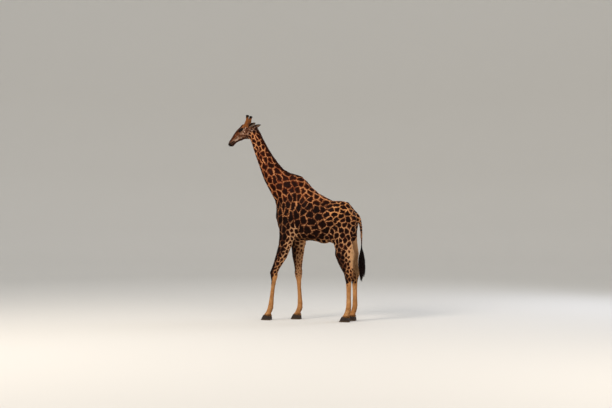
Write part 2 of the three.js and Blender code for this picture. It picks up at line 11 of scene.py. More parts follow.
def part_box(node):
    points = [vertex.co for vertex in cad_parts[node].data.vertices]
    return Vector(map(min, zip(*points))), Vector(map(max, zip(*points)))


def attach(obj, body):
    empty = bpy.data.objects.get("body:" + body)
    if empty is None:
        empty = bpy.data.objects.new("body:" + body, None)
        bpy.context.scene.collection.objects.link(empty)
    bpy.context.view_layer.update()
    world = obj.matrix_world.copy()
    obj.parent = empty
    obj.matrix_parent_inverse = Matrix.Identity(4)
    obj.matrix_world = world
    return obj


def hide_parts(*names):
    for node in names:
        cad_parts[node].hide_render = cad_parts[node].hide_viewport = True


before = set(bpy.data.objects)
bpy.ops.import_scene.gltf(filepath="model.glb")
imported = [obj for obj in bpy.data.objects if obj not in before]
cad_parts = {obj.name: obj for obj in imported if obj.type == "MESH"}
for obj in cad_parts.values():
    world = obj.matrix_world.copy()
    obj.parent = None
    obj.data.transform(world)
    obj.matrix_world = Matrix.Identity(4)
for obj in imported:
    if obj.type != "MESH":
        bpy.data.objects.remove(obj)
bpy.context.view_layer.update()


# ---------------------------------------------------------------- studio
# A plain pale floor that curves up all round into a wall, lit by one large warm lamp on the
# animal's left, a cooler one on its right, a weaker one behind it and a pale sky above.
def put(name, data):
    """A mesh, lamp or camera as an object in the scene."""
    made = bpy.data.objects.new(name, data)
    bpy.context.scene.collection.objects.link(made)
    return made


def linear(code):
    """An sRGB hex colour as linear red, green, blue and alpha."""
    parts = [int(code[i : i + 2], 16) / 255 for i in (1, 3, 5)]
    return [c / 12.92 if c <= 0.04045 else ((c + 0.055) / 1.055) ** 2.4 for c in parts] + [1.0]


def node(material, kind, settings=(), **links):
    """Adds a shader node. settings are its properties and plain inputs; links feed its inputs."""
    made = material.node_tree.nodes.new("ShaderNode" + kind)
    for key, value in dict(settings).items():
        if isinstance(key, str) and hasattr(made, key):
            setattr(made, key, value)
        else:
            made.inputs[key].default_value = value
    for key, source in links.items():
        target = made.inputs[int(key[1:]) if key[0] == "_" else key.replace("_", " ")]
        material.node_tree.links.new(source, target)
    return made


def blank(name):
    """A new material holding only its output."""
    material = bpy.data.materials.new(name)
    material.use_nodes = True
    material.node_tree.nodes.clear()
    return material


def finish(material, shader):
    """Joins the shader to the material's output."""
    node(material, "OutputMaterial", Surface=shader.outputs[0])
    return material


def studio_paint():
    # Matt wall paint, rolled on: no gloss and no grain that shows from this far.
    paint = blank("matt_wall_paint")
    shade = {"Base Color": linear("#d2cec6"), "Roughness": 0.9, "Specular IOR Level": 0.2}
    return finish(paint, node(paint, "BsdfPrincipled", shade))


def smooth(mesh):
    """Shades the mesh as one rounded surface."""
    mesh.polygons.foreach_set("use_smooth", np.ones(len(mesh.polygons), bool))


def studio_floor():
    # how far out each ring of the floor lies, and how high
    profile = [(2, 0), (8, 0), (20, 0), (24, 0.6), (27, 2.4), (29, 5.5), (30, 10), (30, 18)]
    turns = 72
    bm = bmesh.new()
    middle = bm.verts.new((0, 0, 0))
    rings = []
    for reach, height in profile:
        angles = [math.tau * k / turns for k in range(turns)]
        rings.append([bm.verts.new((reach * math.cos(a), reach * math.sin(a), height)) for a in angles])
    for k in range(turns):
        n = (k + 1) % turns
        bm.faces.new((middle, rings[0][k], rings[0][n]))
        for low, high in zip(rings, rings[1:]):
            bm.faces.new((low[k], high[k], high[n], low[n]))
    mesh = bpy.data.meshes.new("studio_floor")
    bm.to_mesh(mesh)
    mesh.materials.append(studio_paint())
    smooth(mesh)
    return put("studio_floor", mesh)


def lamp(name, place, aim, size, watts, colour):
    light = bpy.data.lights.new(name, "AREA")
    light.shape, light.size, light.energy = "DISK", size, watts
    light.color = linear(colour)[:3]
    made = put(name, light)
    made.location = place
    made.rotation_euler = (Vector(aim) - Vector(place)).to_track_quat("-Z", "Y").to_euler()


studio_floor()
lamp("warm_lamp", (5.5, 9.0, 9.5), (0.1, 0, 2.4), 5.0, 1150, "#fff5ea")
lamp("cool_lamp", (-9.0, -6.0, 7.0), (0, 0, 2.2), 6.0, 450, "#dfe8ff")
lamp("rear_lamp", (-8.5, 7.5, 5.0), (-0.2, 0, 2.0), 4.0, 300, "#fff4e8")
sky = bpy.data.worlds.new("pale_sky")
sky.use_nodes = True
glow = sky.node_tree.nodes["Background"].inputs
glow["Color"].default_value, glow["Strength"].default_value = linear("#eef1f6"), 0.95
bpy.context.scene.world = sky
bpy.context.scene.view_settings.view_transform = "Standard"

# The head's own frame: forward down the face, left, and up out of the brow. The two eyes say where
# it stands, and every other place on the animal is measured from it.
HEAD_PITCH, HEAD_YAW = math.radians(30), math.radians(-5)
EYE_AHEAD, EYE_OUT, EYE_UP = 0.187, 0.088, 0.150  # where the eyes lie in the head's own frame
SIDES = (("left", 1), ("right", -1))
head_turn = Matrix.Rotation(HEAD_YAW, 3, "Z") @ Matrix.Rotation(HEAD_PITCH, 3, "Y")
FACE_AHEAD, FACE_LEFT, FACE_UP = np.array(head_turn).T
eye_centres = {side: sum(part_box("eye_" + side), Vector()) / 2 for side, _ in SIDES}
head_place = sum(eye_centres.values(), Vector()) / 2 - head_turn @ Vector((EYE_AHEAD, 0, EYE_UP))
origin = head_place - Vector((1.555, -0.034, 4.121))


def spot(x, y, z):
    """A place given from under the shoulders, as the drawing has it, in the model's frame."""
    return origin + Vector((x, y, z))


# The camera stands well off to the animal's left and a little behind the shoulder, at a person's
# height, and looks slightly up.
camera = put("camera", bpy.data.cameras.new("camera"))
camera.data.lens, camera.data.sensor_width = 45, 36
camera.location = spot(-3.97, 15.97, 1.72)
pitch, yaw = math.radians(2.69), math.radians(15)
look = Vector((math.sin(yaw) * math.cos(pitch), -math.cos(yaw) * math.cos(pitch), math.sin(pitch)))
camera.rotation_euler = look.to_track_quat("-Z", "Y").to_euler()
bpy.context.scene.camera = camera


# ---------------------------------------------------------------- skin
# One hide from the lips to the coronets and the tail's end, drawn over the muscles and bones that
# show through it. It is cast from the solids of the flesh as one even mesh, fine on the head and
# ears, eased until no facet is left and drawn in by the depth of the coat.
FLESH = [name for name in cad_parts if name.split("_")[-1] in (
    "head", "jaw", "upper", "middle", "lower", "shoulders", "barrel", "hindquarters", "dock",
    "forearm", "thigh", "cannon", "pastern")]
EARS = ["ear_left", "ear_right"]
BODY_GRID, HEAD_GRID = 0.0115, 0.0044
COAT_DEPTH, FACE_COAT_SHARE = 0.004, 0.3
CUT_PLACE, CUT_WAY = spot(1.395, -0.022, 3.78), (0.43, 0.0, 0.9)  # across the upper neck


def cast(names, grid, swell=0.0005):
    """Solids, swollen a little so that neighbours meet, recast as one mesh of even squares."""
    bm = bmesh.new()
    for name in names:
        bm.from_mesh(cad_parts[name].data)
    bmesh.ops.remove_doubles(bm, verts=bm.verts, dist=1e-5)
    bm.normal_update()
    for vert in bm.verts:
        vert.co += vert.normal * swell
    rough = bpy.data.meshes.new("rough")
    bm.to_mesh(rough)
    bm.free()
    holder = put("rough", rough)
    recast = holder.modifiers.new("recast", "REMESH")
    recast.mode, recast.voxel_size = "VOXEL", grid
    made = bpy.data.meshes.new_from_object(holder.evaluated_get(bpy.context.evaluated_depsgraph_get()))
    bpy.data.objects.remove(holder)
    return made


def places(mesh):
    flat = np.empty(len(mesh.vertices) * 3, np.float32)
    mesh.vertices.foreach_get("co", flat)
    return flat.reshape(-1, 3).astype(float)


def set_places(mesh, points):
    mesh.vertices.foreach_set("co", np.ascontiguousarray(points, np.float32).ravel())
    mesh.update()


def normals(mesh):
    flat = np.empty(len(mesh.vertices) * 3, np.float32)
    mesh.vertices.foreach_get("normal", flat)
    return flat.reshape(-1, 3).astype(float)


def edges(mesh):
    flat = np.empty(len(mesh.edges) * 2, np.int32)
    mesh.edges.foreach_get("vertices", flat)
    return flat.reshape(-1, 2)


def spread(values, pairs):
    """Each vertex's mean of its neighbours' values."""
    ends = np.concatenate([pairs[:, 0], pairs[:, 1]])
    others = np.concatenate([pairs[:, 1], pairs[:, 0]])
    count = np.bincount(ends, minlength=len(values)).clip(1)
    columns = [np.bincount(ends, values[others, k], len(values)) / count for k in range(values.shape[1])]
    return np.stack(columns, 1)


def ease(points, pairs, passes, share=None):
    """Takes facets and steps out without drawing the shape in. share is how far each vertex may go."""
    share = 1.0 if share is None else share[:, None]
    for _ in range(passes):
        for pull in (0.62, -0.64):
            points = points + pull * share * (spread(points, pairs) - points)
    return points


def fade(value, low, high):
    """0 below low, 1 above high and a smooth rise between. low may be the larger of the two."""
    t = np.clip((value - low) / (high - low), 0, 1)
    return t * t * (3 - 2 * t)


def unit(ways):
    """Directions brought to a length of 1."""
    return ways / np.linalg.norm(ways, axis=-1, keepdims=True).clip(1e-6)


def off_by(*offsets):
    """How far off places are, from how far off they are along each axis."""
    return np.linalg.norm(np.stack(offsets, 1), axis=1)


def from_shoulders(points):
    """Points as the drawing has them, measured from under the shoulders: forward, left, up."""
    return points - np.array(origin)


def half_head(points):
    """Points in the head's frame, its right half folded onto its left: forward, outwards, up."""
    head = (points - np.array(head_place)) @ np.array(head_turn)
    head[:, 1] = np.abs(head[:, 1])
    return head


def keep_side(bm, above):
    """Cuts the mesh across the upper neck and keeps the head's side or the body's."""
    bmesh.ops.bisect_plane(
        bm, geom=bm.verts[:] + bm.edges[:] + bm.faces[:], dist=0.0008, plane_co=CUT_PLACE,
        plane_no=CUT_WAY, clear_inner=above, clear_outer=not above)


def subdivided(bm, near):
    """Halves the squares whose middle is near, so that lids and lips have enough to be shaped from."""
    centres = np.array([face.calc_center_median() for face in bm.faces])
    chosen = [face for face, pick in zip(bm.faces[:], near(half_head(centres))) if pick]
    rim = {edge for face in chosen for edge in face.edges}
    bmesh.ops.subdivide_edges(bm, edges=list(rim), cuts=1, use_grid_fill=True)
    big = [face for face in bm.faces if len(face.verts) > 4]
    bmesh.ops.triangulate(bm, faces=big)


def from_eyes(half):
    """How far points of the folded head are from the eye's middle."""
    return np.linalg.norm(half - (EYE_AHEAD, EYE_OUT, EYE_UP), axis=1)


# The head and ears are cast finer. The ears keep their thin edges, and the neck is eased most.
UPPER_FLESH = [name for name in FLESH if name.split("_")[0] in ("neck", "head", "lower")]
head_mesh = cast(UPPER_FLESH + EARS, HEAD_GRID)
head_points = places(head_mesh)
f, s, u = half_head(head_points).T
on_ear = fade(s - 0.075 - 0.25 * (-0.03 - f), 0, 0.012) * fade(f, 0.0, -0.03) * fade(u, 0.04, 0.05)
head_points = ease(head_points, edges(head_mesh), 16, 1 - 0.9 * on_ear)
head_points = ease(head_points, edges(head_mesh), 130, fade(f, 0.0, -0.12) * (1 - on_ear))
set_places(head_mesh, head_points)
upper = bmesh.new()
upper.from_mesh(head_mesh)
keep_side(upper, above=True)
subdivided(upper, lambda half: (from_eyes(half) < 0.075) | (half[:, 0] > 0.50))
subdivided(upper, lambda half: from_eyes(half) < 0.044)
upper.to_mesh(head_mesh)
upper.free()

# The body is stitched to it along the cut, and eased all over and once more across the seam.
whole = bmesh.new()
whole.from_mesh(cast(FLESH, BODY_GRID))
keep_side(whole, above=False)
whole.from_mesh(head_mesh)
open_edges = [edge for edge in whole.edges if len(edge.link_faces) == 1]
bmesh.ops.bridge_loops(whole, edges=open_edges)
bmesh.ops.recalc_face_normals(whole, faces=whole.faces)
hide = bpy.data.meshes.new("skin")
whole.to_mesh(hide)
whole.free()
hide_edges = edges(hide)
hide_points = places(hide)
from_cut = (hide_points - np.array(CUT_PLACE)) @ np.array(CUT_WAY)
on_body = fade(from_cut, 0.03, -0.02)
on_trunk = on_body * fade(hide_points[:, 2], 1.45, 1.75)
for passes, share in ((44, on_body), (150, on_trunk), (12, fade(np.abs(from_cut), 0.09, 0.03))):
    hide_points = ease(hide_points, hide_edges, passes, share)
set_places(hide, hide_points)


# Where the limbs run, each with its girth. Each path runs the way the hair lies on it.
def head_spot(forward, side, up):
    return head_place + head_turn @ Vector((forward, side, up))


# Each leg's side, and how far forward of the shoulders its elbow or hip, knee or hock, fetlock and
# hoof stand. Below, each kind of leg has its places outwards, its heights and its girths.
FORE = {"left": (1, 0.705, 0.975, 1.058, 1.128), "right": (-1, 0.590, 0.522, 0.492, 0.556)}
HIND = {"left": (1, -0.575, -0.660, -0.652, -0.590), "right": (-1, -0.600, -0.728, -0.726, -0.664)}
KNEE, HOCK, FETLOCK = 1.005, 0.965, 0.268
LIMBS = {
    "head": ([head_spot(0.66, 0, 0.03), head_spot(0.40, 0, 0.07), head_spot(0.12, 0, 0.09),
              head_spot(-0.06, 0, 0.06)], [0.06, 0.09, 0.13, 0.12]),
    "neck": ([spot(1.53, -0.034, 4.06), spot(1.432, -0.026, 3.872), spot(1.256, -0.012, 3.493),
              spot(1.032, 0, 3.097), spot(0.80, 0, 2.80)], [0.09, 0.10, 0.14, 0.2, 0.3]),
    "trunk": ([spot(0.82, 0, 2.35), spot(0.40, 0, 2.30), spot(-0.2, 0, 2.10), spot(-0.62, 0, 2.10)],
              [0.36, 0.42, 0.38, 0.34]),
    "tail": ([spot(-0.80, 0, 2.28), spot(-0.872, 0, 2.12), spot(-0.902, 0, 1.92), spot(-0.909, 0, 1.46)],
             [0.06, 0.045, 0.03, 0.02]),
}
for kind, legs, outs, heights, girths in (
        ("fore_", FORE, (0.19, 0.186, 0.173, 0.167, 0.165), (1.86, 1.70, KNEE, FETLOCK, 0.08),
         [0.15, 0.13, 0.075, 0.055, 0.08]),
        ("hind_", HIND, (0.176, 0.168, 0.154, 0.150, 0.148), (1.86, 1.50, HOCK, FETLOCK, 0.08),
         [0.24, 0.2, 0.08, 0.055, 0.08])):
    for side, (sign, upper_joint, *lower_joints) in legs.items():
        stations = zip((upper_joint, upper_joint, *lower_joints), outs, heights)
        LIMBS[kind + side] = ([spot(ahead, sign * out, high) for ahead, out, high in stations], girths)
for side, sign in SIDES:
    LIMBS["ear_" + side] = ([head_spot(-0.035, sign * 0.092, 0.104),
                             head_spot(-0.21, sign * 0.146, 0.072)], [0.035, 0.035])
LEGS = ("fore_left", "fore_right", "hind_left", "hind_right")


def along(points, path, girths=None):
    """Distance to a path in girths, how far along it (in metres), its direction and the foot on it."""
    path = np.array([list(p) for p in path], float)
    girths = np.ones(len(path)) if girths is None else np.array(girths)
    best = np.full(len(points), 1e9)
    run, way, foot = np.zeros(len(points)), np.zeros(points.shape), np.zeros(points.shape)
    gone = 0.0
    for a, b, ga, gb in zip(path, path[1:], girths, girths[1:]):
        length = np.linalg.norm(b - a)
        t = np.clip((points - a) @ (b - a) / length**2, 0, 1)
        near = a + t[:, None] * (b - a)
        far = np.linalg.norm(points - near, axis=1) / (ga + t * (gb - ga))
        closer = far < best
        best = np.where(closer, far, best)
        run = np.where(closer, gone + t * length, run)
        way[closer] = (b - a) / length
        foot[closer] = near[closer]
        gone += length
    return best, run, way, foot


def shares_of(points):
    """How much of each point belongs to each limb, and the hair's way there before it follows the
    form."""
    found = {name: along(points, *limb) for name, limb in LIMBS.items()}
    weights = {name: np.exp(-5.0 * f[0]) for name, f in found.items()}
    total = sum(weights.values())
    way = sum((weights[name] / total)[:, None] * found[name][2] for name in LIMBS)
    return {name: w / total for name, w in weights.items()}, way


def together(shares, *names):
    """How much of each point belongs to any of the limbs named."""
    return sum(shares[name] for name in names)


# Muscles, bones and tendons under the skin. Each form is a path with its reach and its lift, in
# metres: a ridge where the lift is above 0 and a furrow where it is below. None leaves an axis out,
# so that the form runs right through, as one seen from the side does.
def form(coords, path, reach, lift):
    used = [k for k in range(3) if path[0][k] is not None]
    flat = [[point[k] for k in used] + [0.0] * (3 - len(used)) for point in path]
    here = np.zeros((len(coords), 3))
    here[:, : len(used)] = coords[:, used]
    if len(path) == 1:
        far = np.linalg.norm(here - flat[0], axis=1)
    else:
        far = along(here, flat)[0]
    return lift * (1 - np.clip(far / reach, 0, 1) ** 2) ** 2


def seen_from_side(*path):
    return [(forward, None, height) for forward, height in path]


FLANK = [  # forward and height, from under the shoulders
    (seen_from_side((0.44, 2.90), (0.56, 2.52), (0.72, 2.20)), 0.055, 0.009),  # blade's ridge
    (seen_from_side((0.30, 2.84), (0.37, 2.50), (0.42, 2.20)), 0.075, -0.009),
    (seen_from_side((0.63, 2.86), (0.74, 2.60), (0.84, 2.36)), 0.060, -0.008),
    (seen_from_side((0.50, 2.30), (0.60, 2.04)), 0.150, 0.011),  # upper arm
    (seen_from_side((0.38, 2.06), (0.50, 1.88), (0.66, 1.80)), 0.038, -0.007),
    (seen_from_side((0.86, 2.30), (0.84, 2.05), (0.86, 1.86)), 0.040, -0.007),  # breast
    (seen_from_side((-0.22, 2.40), (-0.20, 2.28)), 0.120, -0.014),  # hollow of the flank
    (seen_from_side((0.36, 1.74), (0.10, 1.80), (-0.12, 1.98), (-0.20, 2.22)), 0.045, -0.006),
    (seen_from_side((-0.405, 2.45)), 0.070, 0.010),  # hip bone
    (seen_from_side((-0.24, 1.66), (-0.31, 1.80), (-0.33, 1.94)), 0.045, 0.007),  # stifle fold
    (seen_from_side((-0.55, 2.36), (-0.68, 2.02), (-0.715, 1.66), (-0.69, 1.36)), 0.032, -0.008),
    (seen_from_side((-0.43, 2.22), (-0.51, 1.92), (-0.53, 1.60)), 0.032, -0.005),
    (seen_from_side((-0.60, 1.95)), 0.160, 0.007),
    (seen_from_side((-0.79, 2.20)), 0.050, 0.007),  # seat bone
    (seen_from_side((1.46, 3.86), (1.345, 3.50), (1.17, 3.10), (1.0, 2.74), (0.93, 2.5)), 0.034, -0.007),
    (seen_from_side((1.36, 3.93), (1.20, 3.63), (1.03, 3.33), (0.85, 3.08), (0.68, 2.98)), 0.036, -0.005),
]
FLANK += [  # ribs
    (seen_from_side((0.32 - 0.068 * k, 2.52 - 0.02 * k), (0.288 - 0.068 * k, 2.28),
                    (0.288 - 0.068 * k, 2.05), (0.33 - 0.068 * k, 1.86)), 0.020, 0.0030)
    for k in range(8)]
FLANK += [  # creases where the neck, elbow and thigh bend
    (seen_from_side(*path), 0.016, -0.0035)
    for path in (
        ((0.93, 2.30), (0.86, 2.24), (0.80, 2.22)), ((0.90, 2.22), (0.84, 2.15), (0.78, 2.14)),
        ((0.56, 1.80), (0.52, 1.88), (0.44, 1.94)), ((0.50, 1.76), (0.45, 1.83), (0.38, 1.88)),
        ((-0.17, 1.80), (-0.25, 1.92), (-0.28, 2.08)), ((-0.12, 1.84), (-0.19, 1.97), (-0.21, 2.12)),
        ((1.44, 3.80), (1.37, 3.84)), ((1.46, 3.86), (1.39, 3.91)), ((1.42, 3.73), (1.34, 3.77)))]
FLANK += [  # neck bones
    (seen_from_side(place), 0.080, 0.006)
    for place in ((1.41, 3.77), (1.32, 3.57), (1.22, 3.36), (1.12, 3.16), (1.0, 2.98))]

CANNON_AND_FOOT = [  # forward of the bone, outwards, height
    ([(-0.014, None, 0.88), (-0.018, None, 0.34)], 0.013, -0.0050),  # between bone and tendon
    ([(-0.050, 0.026, 0.262)], 0.030, 0.0060),
    ([(-0.050, -0.026, 0.262)], 0.030, 0.0060),
    ([(-0.070, 0.0, 0.30), (-0.070, 0.0, 0.22)], 0.016, -0.0040),
    ([(0.060, None, 0.222)], 0.014, -0.0025),
    ([(None, None, 0.112)], 0.018, 0.0040),  # coronet
]
FORE_FORMS = [
    ([(0.02, 0.06, 1.50)], 0.110, 0.007),
    ([(-0.012, None, 1.58), (-0.010, None, 1.12)], 0.020, -0.005),
    ([(0.070, 0.0, 1.02)], 0.055, 0.005),
    ([(-0.075, 0.0, 1.055)], 0.036, 0.010),  # bone behind the knee
    ([(0.0, 0.060, 1.035)], 0.030, 0.004),
    ([(0.0, -0.060, 1.035)], 0.030, 0.004),
    ([(0.080, None, 0.985)], 0.012, -0.0025),
    ([(0.080, None, 0.955)], 0.012, -0.0020),
] + CANNON_AND_FOOT
HIND_FORMS = [
    ([(0.05, 0.05, 1.33)], 0.110, 0.007),
    ([(-0.052, None, 1.27), (-0.046, None, 1.06)], 0.032, -0.011),  # ahead of the heel tendon
    ([(-0.095, 0.0, 1.04)], 0.036, 0.009),
    ([(0.02, 0.050, 0.985)], 0.030, 0.005),
    ([(0.02, -0.050, 0.985)], 0.030, 0.005),
    ([(0.075, None, 1.0)], 0.014, -0.003),
] + CANNON_AND_FOOT

HEAD_FORMS = [  # forward, out from the middle, up
    ([(0.235, 0.088, 0.172), (0.19, 0.094, 0.188), (0.14, 0.090, 0.176)], 0.020, 0.0050),  # brow
    ([(0.225, None, 0.104), (0.30, None, 0.082), (0.385, None, 0.070)], 0.020, 0.0055),  # cheekbone
    ([(0.29, None, 0.040), (0.40, None, 0.042), (0.47, None, 0.05)], 0.032, -0.0070),
    ([(0.105, None, 0.172)], 0.036, -0.0060),  # temple
    # the bone under each horn
    ([(0.055, 0.054, 0.215), (0.0, 0.066, 0.20), (-0.03, 0.070, 0.175)], 0.062, 0.0110),
    ([(0.190, None, 0.06), (0.205, None, -0.02), (0.175, None, -0.075)], 0.018, -0.0045),
    ([(0.10, None, 0.0)], 0.085, 0.0045),
    ([(-0.015, None, 0.0), (0.02, None, -0.10)], 0.030, -0.0060),
    ([(0.14, None, -0.092), (0.28, None, -0.045), (0.42, None, -0.012)], 0.014, 0.0030),
    ([(0.33, None, 0.135), (0.50, None, 0.095)], 0.020, -0.0035),
    ([(0.31, None, 0.10), (0.40, None, 0.045), (0.385, None, 0.0)], 0.006, 0.0016),  # vein
    ([(0.62, None, 0.048), (0.55, None, 0.046), (0.48, None, 0.054)], 0.017, 0.0035),  # lips
    ([(0.60, None, 0.004), (0.54, None, 0.008), (0.48, None, 0.020)], 0.015, 0.0035),
    ([(0.575, 0.0, -0.028)], 0.036, 0.0050),
    ([(0.655, 0.0, 0.050), (0.632, 0.0, 0.074)], 0.009, -0.0030),
    ([(0.47, None, 0.062), (0.452, None, 0.048), (0.449, None, 0.02)], 0.006, -0.0018),
    ([(0.44, None, 0.060), (0.428, None, 0.040), (0.43, None, 0.012)], 0.006, -0.0014),
    # the nostril's rim
    ([(0.56, 0.064, 0.066), (0.585, 0.060, 0.080), (0.61, 0.045, 0.088)], 0.011, 0.0025),
]
MOUTH = [(0.665, None, 0.027), (0.60, None, 0.022), (0.53, None, 0.027), (0.465, None, 0.036),
         (0.447, None, 0.031)]
NOSTRIL = [(0.624, 0.036, 0.072), (0.604, 0.050, 0.062), (0.588, 0.056, 0.046)]
EYE_BALL = 0.0265
# Half the lids' opening: along it, up and down, and how pointed its corners are.
LID_WIDE, LID_UPPER, LID_LOWER, LID_POWER = 0.0275, 0.0185, 0.0150, 1.7


def drawn_forms(points, facing):
    """How far the skin stands out from the plain form at each point."""
    local, head = from_shoulders(points), half_head(points)
    shares, _ = shares_of(points)
    flank = fade(np.abs(facing[:, 1]), 0.15, 0.75)
    on_flank = flank * fade(together(shares, "trunk", "neck", *LEGS), 0.3, 0.7)
    rise = sum(form(local, *one) for one in FLANK) * on_flank
    for kind, legs, forms in (("fore_", FORE, FORE_FORMS), ("hind_", HIND, HIND_FORMS)):
        for side, (sign, *_) in legs.items():
            _, _, _, foot = along(points, *LIMBS[kind + side])
            coords = local - from_shoulders(foot)
            coords[:, 1] *= sign
            coords[:, 2] = local[:, 2]
            rise += fade(shares[kind + side], 0.4, 0.8) * sum(form(coords, *one) for one in forms)
    on_head = fade(shares["head"], 0.35, 0.7)
    rise += on_head * sum(form(head, *one) for one in HEAD_FORMS)
    return rise + on_head * form(head, MOUTH, 0.0065, -0.0065)


def ripple(points, size, seed=0):
    """A smooth random field from -1 to 1, with lumps of about that size."""
    q = points / size + 31.7 * seed + 500
    cell = np.floor(q).astype(np.int64)
    t = q - cell
    t = t * t * (3 - 2 * t)
    total = np.zeros(len(points))
    for corner in np.ndindex(2, 2, 2):
        x, y, z = (cell + corner).T
        mixed = (x * 73856093) ^ (y * 19349663) ^ (z * 83492791)
        mixed = ((mixed ^ (mixed >> 13)) * 1274126177) & 0x7FFFFFFF
        weight = np.prod(np.where(corner, t, 1 - t), axis=1)
        total += weight * ((mixed >> 8) % 65536 / 32767.5 - 1)
    return total


def gaze_axes(sign):
    """Along the eye's opening, up it, and out of it, in the model's frame."""
    out = Vector((0.20, sign, -0.06)).normalized()
    ahead = (Vector((1, 0, -0.12)) - out * out.x).normalized()
    up = out.cross(ahead)
    up = up if up.z > 0 else -up
    return np.array([head_turn @ ahead, head_turn @ up, head_turn @ out])


def dome(size, a, b):
    """How high a ball of that size stands at a along and b up from its middle."""
    return np.sqrt(np.clip(size * size - (a * a + b * b), 0, None))


def set_eyes(points):
    """Opens the skin over each eyeball, with a lid drawn up round it."""
    for side, sign in SIDES:
        axes = gaze_axes(sign)
        a, b, h = ((points - np.array(eye_centres[side])) @ axes.T).T
        high = np.where(b > 0, LID_UPPER, LID_LOWER)
        ring = ((np.abs(a) / LID_WIDE) ** LID_POWER + (np.abs(b) / high) ** LID_POWER) ** (1 / LID_POWER)
        brow = EYE_BALL + 0.0040 + 0.0022 * fade(b, 0.002, 0.012)
        lid = dome(brow, a, b) * fade(ring, 0.92, 1.02)
        lid += dome(EYE_BALL - 0.004, a, b) * fade(ring, 1.02, 0.92)
        lid -= 0.0016 * np.exp(-(((ring - 1.5) / 0.12) ** 2))
        hold = fade(ring, 2.1, 1.12) * (h > -0.01)
        points = points + (hold * (lid - h))[:, None] * axes[2]
    return points


def set_nostrils(points, facing):
    """Sinks the two nostrils."""
    return points + facing * form(half_head(points), NOSTRIL, 0.0085, -0.012)[:, None]


def draw_out_elbows(points):
    """Carries the back of each forearm rearward, where the upper arm's muscles run down into it."""
    x, y, z = from_shoulders(points).T
    drawn = np.interp(z, (1.04, 1.15, 1.30, 1.46, 1.62, 1.76, 1.92),
                      (0, 0.014, 0.034, 0.055, 0.066, 0.040, 0))
    for sign, elbow, knee, *_ in FORE.values():
        axis = np.interp(z, (KNEE, 1.70), (knee, elbow))
        behind = fade(axis - x, -0.01, 0.12) * fade(x - axis, -0.46, -0.26) * fade(sign * y, 0.015, 0.06)
        points = points - (drawn * behind)[:, None] * np.array((1.0, 0.0, 0.0))
    return points


hide_points = draw_out_elbows(hide_points)
set_places(hide, hide_points)
facing = normals(hide)
on_face = np.linalg.norm(half_head(hide_points), axis=1) < 0.75
depth = COAT_DEPTH * np.where(on_face, FACE_COAT_SHARE, 1.0)
hide_points = hide_points + facing * (drawn_forms(hide_points, facing) - depth)[:, None]
hide_points += facing * (0.0008 * ripple(hide_points, 0.05, 1) * on_body)[:, None]
hide_points = set_nostrils(hide_points, facing)
hide_points = set_eyes(hide_points)
set_places(hide, hide_points)


# Markings: dark blotches parted by narrow pale lines, like dried mud. Seeds are strewn over the
# hide, closer where the blotches are smaller, and each point belongs to its nearest seed. What is
# kept for each point is how deep it lies inside its blotch, and the two colours it may have.
RANDOM = np.random.default_rng(20)
SEED_TRIES, SEED_SAMPLE = 26000, 40000
AT_ONCE = 8192  # points compared with all seeds in one go


def leg_zones(points):
    """How much of each point lies in the net's own zones on the legs: the dark leading edge, the pale
    elbow, the pale strip down the back of the thigh and the fainter inner side, whose ground is painted
    darker as shade."""
    x, _, z = from_shoulders(points).T
    shares, _ = shares_of(points)
    nearest = np.full(len(points), np.inf)
    ahead, outside, on_fore = np.zeros(len(points)), np.zeros(len(points)), np.zeros(len(points))
    for name in LEGS:
        far, _, _, foot = along(points, *LIMBS[name])
        own = far < nearest
        outwards = (points - foot)[:, 1] * (1 if "left" in name else -1)
        nearest = np.where(own, far, nearest)
        ahead = np.where(own, (points - foot)[:, 0], ahead)
        outside = np.where(own, outwards, outside)
        on_fore = np.where(own, float("fore" in name), on_fore)
    fore, hind = together(shares, *LEGS[:2]), together(shares, *LEGS[2:])
    front = fore * fade(ahead - 0.05 * fade(z, 1.5, 1.15), -0.050, 0.008)
    front *= fade(z, 0.95, 1.10) * fade(z, 2.05, 1.80)
    front += hind * fade(ahead, -0.01, 0.045) * fade(z, 0.70, 0.85) * fade(z, 1.60, 1.35)
    elbow = on_fore * fade(ahead + 0.15 * (z - 1.7), -0.02, -0.09) * fade(ahead, -0.31, -0.22)
    elbow *= fade(z, 1.30, 1.50) * fade(z, 2.15, 2.0) * fade(outside, -0.05, 0.0)
    back_line = x + 0.68 * (z - 1.38) ** 2 + 0.02 * ripple(points, 0.05, 31)
    strip = (hind + shares["trunk"]) * fade(back_line, -0.64, -0.75)
    strip *= fade(z, 1.90, 1.78) * fade(z, 0.85, 1.0)
    inner = (fore + hind) * fade(outside, 0.0, -0.03) * fade(z, 1.75, 1.6) * fade(z, 0.8, 1.0)
    return front, elbow, strip, inner * (1 - fade(ahead, 0.02, 0.06))


